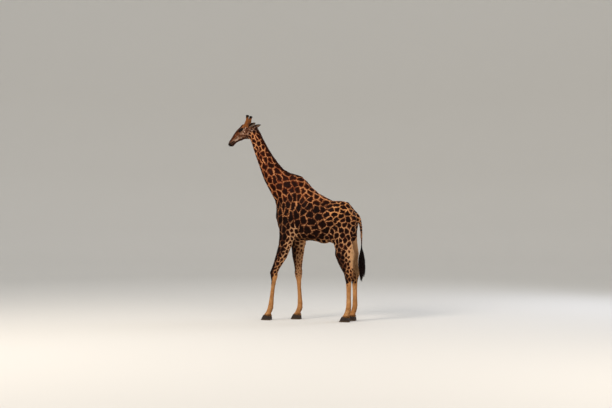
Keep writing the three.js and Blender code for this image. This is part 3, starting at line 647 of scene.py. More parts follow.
def marking_plan(points):
    """At each point: the blotches' spacing, their long way, how long they are for their width, and
    the half width of the lines."""
    x, _, z = from_shoulders(points).T
    shares, way = shares_of(points)
    trunk, neck = shares["trunk"], shares["neck"]
    fore, hind = together(shares, *LEGS[:2]), together(shares, *LEGS[2:])
    leg = fore + hind
    front, elbow, strip, inner = leg_zones(points)
    shoulder = fade(x, 0.15, 0.42)
    croup = np.clip(fade(x, -0.12, -0.35) + fade(z, 2.42, 2.62) * fade(x, 0.45, 0.2), 0, 1)
    withers = fade(z - 0.25 * x, 2.25, 2.50) * fade(x, 0.05, 0.30)
    trunk_size = 0.186 - 0.022 * shoulder - 0.050 * croup - 0.05 * fade(z, 1.85, 1.65)
    trunk_size -= 0.050 * withers * (1 - croup)
    neck_size = 0.102 + 0.050 * fade(z, 3.9, 2.9)
    leg_size = 0.064 + 0.050 * fade(z, 1.0, 1.75)
    size = (trunk * trunk_size + neck * neck_size + leg * leg_size + shares["head"] * 0.056
            + shares["tail"] * 0.05 + together(shares, *EARS) * 0.05)
    size *= 1 + 0.30 * front - 0.40 * elbow - 0.30 * inner
    long = (neck + leg)[:, None] * way + (trunk * shoulder)[:, None] * np.array((0, 0, -1.0))
    long += (trunk * (1 - shoulder) * 0.4)[:, None] * np.array((1, 0, -0.3))
    ratio = 1 + 0.55 * neck + 0.65 * trunk * shoulder + 0.3 * leg + 0.1 * trunk * (1 - shoulder)
    # the lines are widest where the net ends, above the cannons and at the belly
    line = (0.0034 + 0.0030 * croup * trunk + 0.001 * leg + 0.0006 * neck
            + 0.042 * fore * fade(z, 1.02, 0.80) + 0.042 * hind * fade(z, 0.84, 0.70)
            + 0.030 * strip + 0.016 * trunk * fade(z, 1.76, 1.64) + 0.0035 * shares["head"]
            + 0.001 * hind * fade(z, 1.1, 1.4) + 0.003 * elbow + 0.004 * inner)
    line = line * (1 + 0.75 * ripple(points, 0.10, 9)) - 0.0060 * front
    return size, unit(long), ratio, line


def apart(points, long, ratio, seeds):
    """Squared distance from each point to each seed, shortened along the blotches' long way."""
    p, s, a = (np.asarray(v, np.float32) for v in (points, seeds, long))
    squared = (p * p).sum(1)[:, None] + (s * s).sum(1)[None] - 2 * p @ s.T
    run = (p * a).sum(1)[:, None] - a @ s.T
    return squared - (1 - 1 / ratio.astype(np.float32) ** 2)[:, None] * run * run


def strewn(points, areas, plan):
    """Seeds at about the planned spacing, then each moved to the middle of its own blotch."""
    size, long, ratio, _ = plan
    share = areas / areas.sum()
    kept, grown = [], np.empty((0, 3))
    for k in RANDOM.choice(len(points), SEED_TRIES, p=share):
        if kept:
            near = apart(points[k : k + 1], long[k : k + 1], ratio[k : k + 1], grown)
            if near.min() < (RANDOM.uniform(0.60, 0.90) * size[k]) ** 2:
                continue
        kept.append(k)
        grown = points[kept]
    sample = RANDOM.choice(len(points), SEED_SAMPLE, p=share)
    owner = apart(points[sample], long[sample], ratio[sample], grown).argmin(1)
    count = np.bincount(owner, minlength=len(grown))[:, None]
    sums = [np.bincount(owner, points[sample][:, k], len(grown)) for k in range(3)]
    return np.where(count > 0, np.stack(sums, 1) / count.clip(1), grown)


def deep_in(points, plan, seeds):
    """How far each point lies from the nearest line between two seeds, and whose blotch it is in."""
    _, long, ratio, _ = plan
    depth, owner = np.empty(len(points)), np.empty(len(points), int)
    for start in range(0, len(points), AT_ONCE):
        part = slice(start, start + AT_ONCE)
        far = apart(points[part], long[part], ratio[part], seeds)
        near = np.argpartition(far, 6, axis=1)[:, :6]
        rows = np.arange(len(near))[:, None]
        near = near[rows, far[rows, near].argsort(1)]
        own = near[:, 0]
        step = seeds[near[:, 1:]] - seeds[own][:, None]
        a = long[part][:, None]
        step = step - (1 - 1 / ratio[part] ** 2)[:, None, None] * (step * a).sum(2, keepdims=True) * a
        gap = far[rows, near[:, 1:]] - far[rows, near[:, :1]]
        depth[part] = (gap / (2 * np.linalg.norm(step, axis=2).clip(1e-4))).min(1)
        owner[part] = own
    return depth, owner


def blotted(points, plan):
    """The points pushed about a little, so that the blotches' edges are notched and not straight."""
    size = plan[0][:, None]
    coarse = np.stack([ripple(points, 0.060, 3 + k) for k in range(3)], 1)
    fine = np.stack([ripple(points, 0.022, 6 + k) for k in range(3)], 1)
    return points + 0.150 * size * coarse + 0.062 * size * fine


def vertex_areas(mesh):
    """Each vertex's share of the faces round it."""
    flat = np.empty(len(mesh.polygons), np.float32)
    mesh.polygons.foreach_get("area", flat)
    corners = np.empty(len(mesh.polygons), np.int32)
    mesh.polygons.foreach_get("loop_total", corners)
    loops = np.empty(len(mesh.loops), np.int32)
    mesh.loops.foreach_get("vertex_index", loops)
    return np.bincount(loops, np.repeat(flat / corners, corners), len(mesh.vertices))


def plain(points, code):
    return np.tile(linear(code)[:3], (len(points), 1))


def tinted(base, *coats):
    """Colours with others laid over them in turn, each a hex colour and its share at each point."""
    for code, share in coats:
        base = base + np.clip(share, 0, 1)[:, None] * (np.array(linear(code)[:3]) - base)
    return base


def body_colours(points, facing, shares):
    """The colour between the blotches and the colour of the blotches, on the body and legs, with painted
    shade down the backs of the cannons and on the legs' inner sides.
    """
    x, _, z = from_shoulders(points).T
    leg = together(shares, *LEGS)
    front, elbow, strip, inner = leg_zones(points)
    mottling = fade(ripple(points, 0.04, 24), 0.0, 0.9)
    worn = ripple(points, 0.075, 22) + 0.6 * ripple(points, 0.028, 23)
    ground = tinted(
        plain(points, "#bd8254"),
        ("#cf925c", fade(x, -0.1, -0.4) * fade(z, 2.0, 2.4)),  # croup
        ("#cd9160", shares["neck"] * fade(z, 3.0, 3.6)),
        ("#bb8a60", fade(z, 2.3, 1.75) * fade(z, 0.9, 1.3)),  # low on the body
        ("#ab7848", leg * fade(z, 1.25, 0.85)),  # cannons
        ("#bb8659", fade(facing[:, 2], -0.45, -0.85) * fade(z, 2.1, 1.8) * fade(z, 1.4, 1.6)),  # belly
        ("#b78d65", strip),
        ("#7f5a3c", 0.55 * strip * mottling),
        ("#b88e69", 0.8 * elbow),
        # the legs' inner sides: a fainter net on a ground darkened as painted shade
        ("#9c7450", inner),
        ("#6c4222", 0.42 * leg * fade(worn, 0.15, 1.1) * fade(z, 1.5, 1.1)),  # stained
        ("#c19a6c", 0.50 * leg * fade(worn, -0.2, -1.1) * fade(z, 1.8, 1.2)),  # and bleached legs
        ("#7d5230", 0.55 * leg * fade(facing[:, 0], -0.3, -0.9) * fade(z, 0.85, 0.60)))  # painted shade down the backs of the cannons, where they face rearward
    patch = tinted(
        plain(points, "#3a190c"),
        ("#5d2b10", fade(z, 2.35, 2.7) * fade(x, 0.7, 0.3)),  # back
        ("#5b240d", shares["neck"]),
        ("#3c1d10", leg * fade(z, 1.5, 1.1)),
        ("#5f3820", 0.8 * inner),
        ("#2c140b", 0.7 * front))
    return ground, patch


def face_colours(ground, points, facing, shares):
    """The face laid over the ground: grey-brown cheeks, a rusty bridge and crown, dark lips, brow and eye
    rims, a dark patch round each eye that is partly painted shadow under the brow, painted shadow under
    the jaw, and grey-brown ears with dark backs."""
    head = half_head(points)
    f, s, u = head.T
    ears = together(shares, *EARS)
    on_head = fade(together(shares, "head", *EARS), 0.12, 0.85)
    ear = fade(ears, 0.35, 0.6)
    upward = facing @ FACE_UP
    smudge = ripple(points, 0.045, 15) + 0.5 * ripple(points, 0.020, 16)
    crown = off_by(f - 0.020, 0.7 * (s - 0.065), u - 0.200)
    ear_root = off_by(f + 0.030, 0.7 * (s - 0.085), u - 0.165)
    above_eye = off_by((f - 0.155) / 0.060, (u - 0.192) / 0.020)
    temple = off_by((f - 0.095) / 0.060, (u - 0.135) / 0.030)
    eye_patch_and_brow_shadow = off_by((f - 0.194) / 0.068, (u - 0.148) / 0.038, (s - 0.09) / 0.07)
    ear_up = np.zeros(len(points))
    for name in EARS:
        _, _, _, foot = along(points, LIMBS[name][0])
        own = shares[name] > 0.5
        ear_up[own] = ((points - foot) @ FACE_UP)[own]
    z = from_shoulders(points)[:, 2]
    return tinted(
        ground,
        ("#88644e", on_head),
        ("#6e3a1b", on_head * fade(upward, -0.10, 0.25)),  # bridge
        ("#2b130a", on_head * fade(upward, 0.12, 0.48) * fade(f, 0.07, 0.14)),
        ("#56301d", on_head * fade(upward, 0.20, 0.60) * fade(f, 0.02, -0.04)),  # nape
        ("#2b130a", fade(upward, 0.15, 0.55) * on_head * fade(f, 0.34, 0.24) * fade(f, 0.07, 0.14)),
        ("#2f1810", on_head * fade(upward, -0.25, -0.70) * fade(f, 0.02, 0.10)),  # painted shadow under the jaw
        ("#7d481f", on_head * fade(crown, 0.125, 0.075)),
        ("#43200f", 0.85 * on_head * fade(smudge, -0.20, 0.60) * fade(f, 0.52, 0.45)),
        ("#5e3a26", 0.9 * on_head * fade(ear_root, 0.060, 0.030)),
        ("#bda493", 0.60 * on_head * fade(smudge, -0.30, -0.9) * fade(f, 0.50, 0.40)
         * fade(upward, 0.3, 0.0) * fade(ear_root, 0.045, 0.070)),  # pale flecks on the cheek
        ("#9c643c", 0.75 * on_head * fade(above_eye, 1.3, 0.3) * fade(upward, 0.8, 0.4)),
        ("#b09683", 0.75 * on_head * fade(temple, 1.3, 0.4) * fade(upward, 0.5, 0.1)),
        ("#3f271c", 0.80 * (on_head * fade(f + 0.35 * u, 0.455, 0.590))),  # muzzle
        ("#120a08", on_head * fade(f - 0.3 * u, 0.535, 0.595)),  # and its tip
        ("#1a100c", on_head * fade(form(head, MOUTH, 0.017, 1.0), 0.10, 0.7) * fade(f, 0.42, 0.47)),
        ("#0c0705", on_head * fade(form(head, NOSTRIL, 0.020, 1.0), 0.1, 0.6)),
        # a dark patch round each eye, partly the hair's own dark colour and partly painted shadow under
        # the brow
        ("#170d09", on_head * fade(eye_patch_and_brow_shadow + 0.25 * smudge, 1.15, 0.75)),
        ("#0b0706", on_head * fade(from_eyes(head), 0.036, 0.031)),  # lids
        ("#6e5848", ear),
        ("#1f130d", ear * fade(ear_up, -0.004, 0.014)),
        ("#23160f", ear * fade(f, -0.175, -0.195)),  # ear tips
        ("#34190e", fade(shares["tail"], 0.4, 0.8) * fade(z, 1.9, 1.6)))  # the dock, by its tuft


def coat_colours(points, facing):
    """The colour between the blotches and the colour of the blotches, at each point."""
    shares, _ = shares_of(points)
    ground, patch = body_colours(points, facing, shares)
    on_head = fade(together(shares, "head", *EARS), 0.12, 0.85)
    return face_colours(ground, points, facing, shares), tinted(patch, ("#30130a", on_head))


# The smear down the front of each knee: height, how far ahead of the bone, and reach.
KNEE_SMEAR = ((1.29, 0.070, 0.034), (1.20, 0.066, 0.050), (1.11, 0.062, 0.062), (1.02, 0.060, 0.068),
              (0.94, 0.050, 0.062), (0.87, 0.042, 0.050), (0.80, 0.040, 0.034))


def knee_smears(points):
    """Marks that aren't part of the net. Above 0 inside a mark, in metres."""
    local = from_shoulders(points)
    best = np.full(len(points), -1.0)
    for sign, elbow, knee, fetlock, _ in FORE.values():
        for height, ahead, reach in KNEE_SMEAR:
            lower = (KNEE - height) / (KNEE - FETLOCK) * (fetlock - knee)
            upper = (height - KNEE) / (1.70 - KNEE) * (elbow - knee)
            centre = np.array((knee + (lower if height < KNEE else upper) + ahead, sign * 0.198, height))
            best = np.maximum(best, reach - np.linalg.norm(local - centre, axis=1))
    return best


def notched(inside, points, areas, plan, shares):
    """Cuts short narrow clefts into the blotches' edges, along the lines of a finer net."""
    size = plan[0]
    crowding = areas / (0.46 * size) ** 2
    picks = RANDOM.choice(len(points), int(crowding.sum()), p=crowding / crowding.sum())
    net = KDTree(len(picks))
    for k, seed in enumerate(points[picks]):
        net.insert(seed, k)
    net.balance()
    depth = np.empty(len(points))
    for k, place in enumerate(blotted(points, plan)):
        (first, _, near), (second, _, far) = net.find_n(place, 2)
        depth[k] = (far * far - near * near) / (2 * (second - first).length + 1e-5)
    reach = size * (0.045 + 0.10 * ripple(points, 0.09, 21))
    cleft = depth - 0.0012 + 0.9 * np.clip(inside - reach, 0, None)
    return np.minimum(inside, cleft + 0.05 * fade(shares["head"], 0.2, 0.5))


def mark(mesh, points, facing):
    """How deep each point lies inside a blotch, its ground colour and its blotch's colour. The brow,
    muzzle, crown, eyes and ears carry no blotches."""
    plan, areas = marking_plan(points), vertex_areas(mesh)
    seeds = strewn(points, areas, plan)
    depth, owner = deep_in(blotted(points, plan), plan, seeds)
    head = half_head(points)
    f, s, u = head.T
    crown = off_by(f, s - 0.066, u - 0.20)
    bare = 0.75 * fade(f, 0.11, 0.24) + fade(f, 0.30, 0.42) + fade(crown, 0.085, 0.06)
    bare += fade(from_eyes(head), 0.06, 0.045) + fade(u, 0.15, 0.19) * fade(f, 0.0, 0.06)
    shares, _ = shares_of(points)
    bare = np.clip(bare, 0, 1) * fade(shares["head"], 0.4, 0.7)
    bare = np.maximum(bare, fade(together(shares, *EARS), 0.35, 0.6))
    inside = depth - plan[3] - 0.016 * bare - 0.05 * fade(bare, 0.6, 1.0)
    inside -= 0.05 * fade(from_shoulders(points)[:, 2], 0.76, 0.68)
    inside = np.maximum(inside, knee_smears(points))
    inside = notched(inside, points, areas, plan, shares)
    ground, patch = coat_colours(points, facing)
    mood = RANDOM.uniform(0.75, 1.25, len(seeds))[owner]
    return np.clip(inside, -0.05, 0.06), ground, patch * mood[:, None]


def keep_on(mesh, name, values):
    """Stores one value or one colour for each vertex."""
    if values.ndim == 1:
        kept = mesh.attributes.new(name, "FLOAT", "POINT")
        kept.data.foreach_set("value", np.ascontiguousarray(values, np.float32))
    else:
        kept = mesh.attributes.new(name, "FLOAT_COLOR", "POINT")
        colours = np.concatenate([values, np.ones((len(values), 1))], 1)
        kept.data.foreach_set("color", np.ascontiguousarray(colours, np.float32).ravel())


facing = normals(hide)
inside, ground, patch = mark(hide, hide_points, facing)
shares, _ = shares_of(hide_points)
keep_on(hide, "inside", inside)
keep_on(hide, "ground", ground)
keep_on(hide, "patch", patch)
keep_on(hide, "lengthwise", fade(together(shares, "trunk", "head", *EARS), 0.35, 0.75))


def coat_colour(material):
    """The coat's own colour: pale lines and dark blotches with browner rims, hazed by stray hairs."""
    place = node(material, "TexCoord").outputs["Object"]
    stray = node(material, "TexNoise", {"Scale": 1 / 0.012, "Detail": 3.0}, Vector=place)
    shift = node(material, "Math", {"operation": "MULTIPLY_ADD", 1: 0.0075, 2: -0.00375},
                 _0=stray.outputs["Fac"])
    ragged = node(material, "Math", {"operation": "ADD"},
                  _0=node(material, "Attribute", {"attribute_name": "inside"}).outputs["Fac"],
                  _1=shift.outputs[0])
    share = node(material, "MapRange", {"interpolation_type": "SMOOTHSTEP", "From Min": -0.003,
                 "From Max": 0.004}, Value=ragged.outputs[0])
    core = node(material, "MapRange", {"interpolation_type": "SMOOTHSTEP", "From Min": 0.002,
                "From Max": 0.020, "To Min": 1.25, "To Max": 0.15}, Value=ragged.outputs[0])
    dark = node(material, "VectorMath", {"operation": "SCALE"}, _3=core.outputs[0],
                _0=node(material, "Attribute", {"attribute_name": "patch"}).outputs["Color"])
    mixed = node(material, "Mix", {"data_type": "RGBA"}, _0=share.outputs[0],
                 _6=node(material, "Attribute", {"attribute_name": "ground"}).outputs["Color"],
                 _7=dark.outputs[0])
    dusty = node(material, "TexNoise", {"Scale": 1 / 0.16, "Detail": 4.0, "Roughness": 0.6},
                 Vector=place)
    bright = node(material, "MapRange", {"From Min": 0.25, "From Max": 0.75, "To Min": 0.78,
                  "To Max": 1.2}, Value=dusty.outputs["Fac"])
    return node(material, "VectorMath", {"operation": "SCALE"}, _0=mixed.outputs[2],
                _3=bright.outputs[0]).outputs[0]


def hide_leather():
    # Hide under short flat hair: matt, a little silky where the hair turns, and streaked along it.
    skin = blank("haired_hide")
    colour = coat_colour(skin)
    place = node(skin, "TexCoord").outputs["Object"]
    streaks = []
    # hair lies along the trunk, and down the limbs
    for stretch in ((0.16, 1, 1), (1, 1, 0.16)):
        run = node(skin, "Mapping", {"Scale": stretch}, Vector=place)
        streaks.append(node(skin, "TexNoise", {"Scale": 1 / 0.0045, "Detail": 2.0}, Vector=run.outputs[0]))
    lengthwise = node(skin, "Attribute", {"attribute_name": "lengthwise"}).outputs["Fac"]
    hairs = node(skin, "Mix", {"data_type": "FLOAT"}, _0=lengthwise, _2=streaks[1].outputs["Fac"],
                 _3=streaks[0].outputs["Fac"])
    shade = node(skin, "MapRange", {"From Min": 0.3, "From Max": 0.7, "To Min": 0.82, "To Max": 1.14},
                 Value=hairs.outputs[0])
    tone = node(skin, "VectorMath", {"operation": "SCALE"}, _0=colour, _3=shade.outputs[0])
    bump = node(skin, "Bump", {"Strength": 0.5, "Distance": 0.0015}, Height=hairs.outputs[0])
    rough = node(skin, "MapRange", {"From Min": 0.3, "From Max": 0.7, "To Min": 0.5, "To Max": 0.72},
                 Value=hairs.outputs[0])
    return finish(skin, node(skin, "BsdfPrincipled", {"Specular IOR Level": 0.05},
                             Base_Color=tone.outputs[0], Roughness=rough.outputs[0],
                             Normal=bump.outputs[0]))


def fit(name, mesh, material, slot, *nodes):
    """Sets a finished mesh on the animal, in the place of the solids named."""
    mesh.materials.append(material)
    piece = put(name, mesh)
    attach(piece, "root")
    if nodes:
        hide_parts(*nodes)


smooth(hide)
fit("skin", hide, hide_leather(), "body_coat", *FLESH, *EARS)


# The unwrap: each region of the hide rolled out flat round its own axis, and the regions laid side
# by side on one square. It maps the skin, and gives each tuft its root's place on its piece's map.
CHARTS = {
    "trunk": (0, 0, 0.50, 0.40), "neck": (0.52, 0, 0.80, 0.40), "head": (0.53, 0.42, 1, 1),
    "fore_left": (0, 0.42, 0.12, 1), "fore_right": (0.13, 0.42, 0.25, 1),
    "hind_left": (0.26, 0.42, 0.38, 1), "hind_right": (0.39, 0.42, 0.51, 1),
    "tail": (0.82, 0, 0.88, 0.40), "ear_left": (0.90, 0, 1, 0.19), "ear_right": (0.90, 0.21, 1, 0.40),
}
REGIONS = list(CHARTS)


def region_of(shares):
    return np.stack([shares[name] for name in REGIONS]).argmax(0)


def rolled_out(points, region):
    """How far round the region's axis each point is, from 0 to 1, and how far along it in metres."""
    path, girths = LIMBS[region]
    _, run, way, foot = along(points, path)
    off = points - foot
    over = (off * way).sum(1)
    off = off - over[:, None] * way
    front = np.array((1.0, 0, 0) if region[:4] in ("fore", "hind", "tail") else (0, 0, 1.0))
    first = unit(front - (way @ front)[:, None] * way)
    turn = np.arctan2((off * np.cross(way, first)).sum(1), (off * first).sum(1)) / math.tau + 0.5
    girth = np.where(over < 0, girths[0], girths[-1])
    cap = np.clip(girth - np.linalg.norm(off, axis=1), 0, None) * fade(np.abs(over), 0, 0.05)
    return turn, run + over + np.sign(over) * 0.6 * cap


def laid(turn, run, span, rect):
    """Rolled-out places put inside a rectangle of the map, with a little room at its edges."""
    u0, v0, u1, v1 = rect
    return np.stack([u0 + (u1 - u0) * (0.03 + 0.94 * turn),
                     v0 + (v1 - v0) * (0.02 + 0.96 * (run - span[0]) / (span[1] - span[0]))], 1)


def map_hide(mesh, points):
    """Unwraps the skin onto the map OFBake, and returns each region's span along its axis."""
    vertex = np.empty(len(mesh.loops), np.int32)
    mesh.loops.foreach_get("vertex_index", vertex)
    sides = np.empty(len(mesh.polygons), np.int32)
    mesh.polygons.foreach_get("loop_total", sides)
    face = np.repeat(np.arange(len(sides)), sides)
    centres = np.stack([np.bincount(face, points[vertex, k]) / sides for k in range(3)], 1)
    region = region_of(shares_of(centres)[0])
    uv, spans = np.zeros((len(vertex), 2)), {}
    for k, name in enumerate(REGIONS):
        own = region[face] == k
        middle, middle_run = rolled_out(centres[region == k], name)
        spans[name] = (middle_run.min(), middle_run.max())
        turn, run = rolled_out(points[vertex[own]], name)
        face_turn = np.zeros(len(sides))
        face_turn[region == k] = middle
        turn += np.round(face_turn[face[own]] - turn)
        uv[own] = laid(turn, run, spans[name], CHARTS[name])
    layer = mesh.uv_layers.new(name="OFBake")
    layer.uv.foreach_set("vector", np.ascontiguousarray(np.clip(uv, 0, 1), np.float32).ravel())
    return spans


spans = map_hide(hide, hide_points)


# The coat: short flat hair in overlapping tufts, rooted in the skin and lying the way the hair grows,
# down the neck and limbs and back along the trunk. Each tuft is a thin keeled leaf that takes its
# colour where it is rooted. It stands a little prouder on the trunk, and most along the back, under the
# belly, at the throat, behind the fetlocks and over the hooves.
def triangle_mesh(name, points, faces, uv):
    """A mesh of triangles with its map OFBake."""
    mesh = bpy.data.meshes.new(name)
    mesh.vertices.add(len(points))
    mesh.vertices.foreach_set("co", np.ascontiguousarray(points, np.float32).ravel())
    mesh.loops.add(faces.size)
    mesh.loops.foreach_set("vertex_index", np.ascontiguousarray(faces, np.int32).ravel())
    mesh.polygons.add(len(faces))
    mesh.polygons.foreach_set("loop_start", np.arange(0, faces.size, 3, dtype=np.int32))
    smooth(mesh)
    mesh.update(calc_edges=True)
    layer = mesh.uv_layers.new(name="OFBake")
    layer.uv.foreach_set("vector", np.ascontiguousarray(uv[faces.ravel()], np.float32).ravel())
    return mesh


def triangles(mesh):
    """The corners of the mesh's faces cut into triangles."""
    mesh.calc_loop_triangles()
    flat = np.empty(len(mesh.loop_triangles) * 3, np.int32)
    mesh.loop_triangles.foreach_get("vertices", flat)
    return flat.reshape(-1, 3)


def rooted(points, thirds, weight, count):
    """Roots spread over the triangles in proportion to their area and weight: which triangle each
    stands on, and its share of the three corners."""
    a, b, c = (points[thirds[:, k]] for k in range(3))
    area = np.linalg.norm(np.cross(b - a, c - a), axis=1) * weight
    total = np.cumsum(area)
    picks = np.searchsorted(total, (np.arange(count) + RANDOM.random(count)) / count * total[-1])
    first, second = RANDOM.random(count), RANDOM.random(count)
    flip = first + second > 1
    first, second = np.where(flip, 1 - first, first), np.where(flip, 1 - second, second)
    return picks.clip(max=len(thirds) - 1), np.stack([1 - first - second, first, second], 1)


def mixed(values, thirds, picks, share):
    """Values of the triangles' corners, mixed at the roots."""
    corners = values[thirds[picks]]
    return (corners * (share if corners.ndim == 2 else share[:, :, None])).sum(1)


def planted(points, ways_out, thirds, weight, count):
    """Roots spread over a mesh: their triangles and shares, their places and the ways out there."""
    picks, share = rooted(points, thirds, weight, count)
    return picks, share, mixed(points, thirds, picks, share), mixed(ways_out, thirds, picks, share)


def flat_on(out, way):
    """The way turned to run along the surface."""
    return unit(way - (way * out).sum(1, keepdims=True) * out)


SWAY = 0.16  # how far tufts turn aside from the coat's way, in radians
MAP_DOT = 0.0014  # half the size of a tuft's patch on its map


def tufts(name, roots, out, way, length, width, lift, uv, colours):
    """Leaves of five points: a root sunk in the skin, two edges, a raised keel and a tip."""
    count = len(roots)
    sway = RANDOM.normal(0, SWAY, count)[:, None]
    side = np.cross(out, way)
    way = way * np.cos(sway) + side * np.sin(sway)
    side = np.cross(out, way)
    wide, long = width[:, None] / 2, length[:, None]
    rise = lift[:, None]
    points = np.stack([roots - 0.0015 * out, roots + 0.36 * long * way + wide * side - 0.0002 * out,
                       roots + 0.34 * long * way - wide * side - 0.0002 * out,
                       roots + 0.42 * long * way + (0.45 * rise + 0.18 * wide) * out,
                       roots + long * way + rise * out], 1).reshape(-1, 3)
    faces = np.array([(0, 3, 1), (0, 2, 3), (1, 3, 4), (3, 2, 4)])
    faces = (faces[None] + 5 * np.arange(count)[:, None, None]).reshape(-1, 3)
    nudge = MAP_DOT * np.array([(0, -1), (1, -0.2), (-1, -0.2), (0, 0), (0, 1.0)])
    mesh = triangle_mesh(name, points, faces, (uv[:, None] + nudge[None]).reshape(-1, 2))
    for key, values in colours.items():
        keep_on(mesh, key, np.repeat(values, 5, axis=0))
    keep_on(mesh, "up_hair", np.tile((0.0, 0.35, 0.35, 0.45, 1.0), count))
    keep_on(mesh, "own_tone", np.repeat(RANDOM.random(count), 5))
    lie = np.repeat(out, 5, axis=0) + 0.35 * normals(mesh)
    mesh.normals_split_custom_set_from_vertices(unit(lie))
    return mesh


def coat_hair(name, colour_of):
    # Short straight hair, each tuft a shade of its own, deeper at the root and paler at the tip.
    hair = blank(name)
    tone = node(hair, "MapRange", {"To Min": 0.80, "To Max": 1.18},
                Value=node(hair, "Attribute", {"attribute_name": "own_tone"}).outputs["Fac"])
    tip = node(hair, "MapRange", {"To Min": 0.78, "To Max": 1.16},
               Value=node(hair, "Attribute", {"attribute_name": "up_hair"}).outputs["Fac"])
    both = node(hair, "Math", {"operation": "MULTIPLY"}, _0=tone.outputs[0], _1=tip.outputs[0])
    shade = node(hair, "VectorMath", {"operation": "SCALE"}, _0=colour_of(hair), _3=both.outputs[0])
    return finish(hair, node(hair, "BsdfPrincipled", {"Roughness": 0.62, "Specular IOR Level": 0.06},
                             Base_Color=shade.outputs[0]))


def coat_plan(points, shares, out):
    """Each root's tuft length, width and lift, and how thickly the tufts stand."""
    local, head = from_shoulders(points), half_head(points)
    _, y, z = local.T
    f, _, u = head.T
    trunk, leg, ear = shares["trunk"], together(shares, *LEGS), together(shares, *EARS)
    foot = fade(z, 0.55, 0.15)
    eye = from_eyes(head)
    length = 0.019 * trunk + 0.017 * shares["neck"] + leg * (0.015 - 0.004 * foot)
    length += 0.0095 * shares["head"] + 0.009 * ear + 0.014 * shares["tail"]
    length *= 1 - 0.35 * (fade(f, 0.42, 0.58) * shares["head"])
    length *= 1 - 0.35 * fade(eye, 0.065, 0.040) * shares["head"]
    # longer hair under the belly, along the back, behind the fetlocks, over the hooves and at the throat
    fringe = fade(out[:, 2], -0.5, -0.9) * trunk
    fringe += fade(out[:, 2], 0.80, 0.97) * trunk * fade(np.abs(y), 0.10, 0.04)
    for legs, aside in ((FORE, 0.166), (HIND, 0.149)):
        for sign, _, _, fetlock, _ in legs.values():
            behind = np.linalg.norm(local - (fetlock - 0.045, sign * aside, 0.235), axis=1)
            fringe += 0.9 * fade(behind, 0.075, 0.03)
    fringe += fade(z, 0.150, 0.125) * leg
    fringe += 0.6 * fade(u, -0.035, -0.06) * shares["head"] * fade(f, 0.2, 0.1)
    fringe = np.clip(fringe, 0, 1)
    length *= 1 + 0.5 * fringe
    fine = shares["head"] + ear > 0.5
    width = np.where(fine, 0.0020, 0.0036 - 0.0010 * foot)
    lift = np.where(fine, 0.0009, 0.0016 + 0.0022 * fringe + 0.0006 * trunk)
    weight = (1 + 0.8 * fringe + 0.5 * foot * leg) * (eye > 0.0335)
    weight *= (form(head, MOUTH, 0.008, 1.0) < 0.35) * (form(head, NOSTRIL, 0.011, 1.0) < 0.3)
    return length, width, lift, weight


COATS = {  # each piece's regions, tufts and material slot, and each region's rectangle of its map
    "coat_trunk": (["trunk"], 49500, "body_coat", [(0, 0, 1, 1)]),
    "coat_neck": (["neck"], 46000, "body_coat", [(0, 0, 1, 1)]),
    "coat_legs": ([*LEGS, "tail"], 49500, "leg_coat",
                  [(0, 0, 0.22, 1), (0.23, 0, 0.45, 1), (0.46, 0, 0.68, 1), (0.69, 0, 0.91, 1),
                   (0.92, 0, 1, 1)]),
    "coat_head": (["head", *EARS], 49500, "face_coat",
                  [(0, 0, 0.79, 1), (0.8, 0, 1, 0.49), (0.8, 0.51, 1, 1)]),
}
thirds = triangles(hide)
third_middles = hide_points[thirds].mean(1)
third_shares, _ = shares_of(third_middles)
third_region = region_of(third_shares)
third_weight = coat_plan(third_middles, third_shares, facing[thirds[:, 0]])[3]
body_hair = coat_hair("short_coat_hair", coat_colour)
for piece, (regions, count, slot, rects) in COATS.items():
    weight = third_weight * np.isin(third_region, [REGIONS.index(name) for name in regions])
    picks, share, roots, out = planted(hide_points, facing, thirds, weight, count)
    out = unit(out)
    shares, way = shares_of(roots)
    length, width, lift, _ = coat_plan(roots, shares, out)
    length = length * RANDOM.uniform(0.8, 1.25, count)
    bend = ripple(roots, 0.16, 12)[:, None] * 0.18
    way = flat_on(out, way)
    way = flat_on(out, way + bend * np.cross(out, way))
    uv = np.zeros((count, 2))
    for name, rect in zip(regions, rects):
        own = third_region[picks] == REGIONS.index(name)
        uv[own] = laid(*rolled_out(roots[own], name), spans[name], rect)
    colours = {key: mixed(values, thirds, picks, share)
               for key, values in (("inside", inside), ("ground", ground), ("patch", patch))}
    mesh = tufts(piece, roots, out, way, length, width, lift, np.clip(uv, 0.002, 0.998), colours)
    fit(piece, mesh, body_hair, slot)


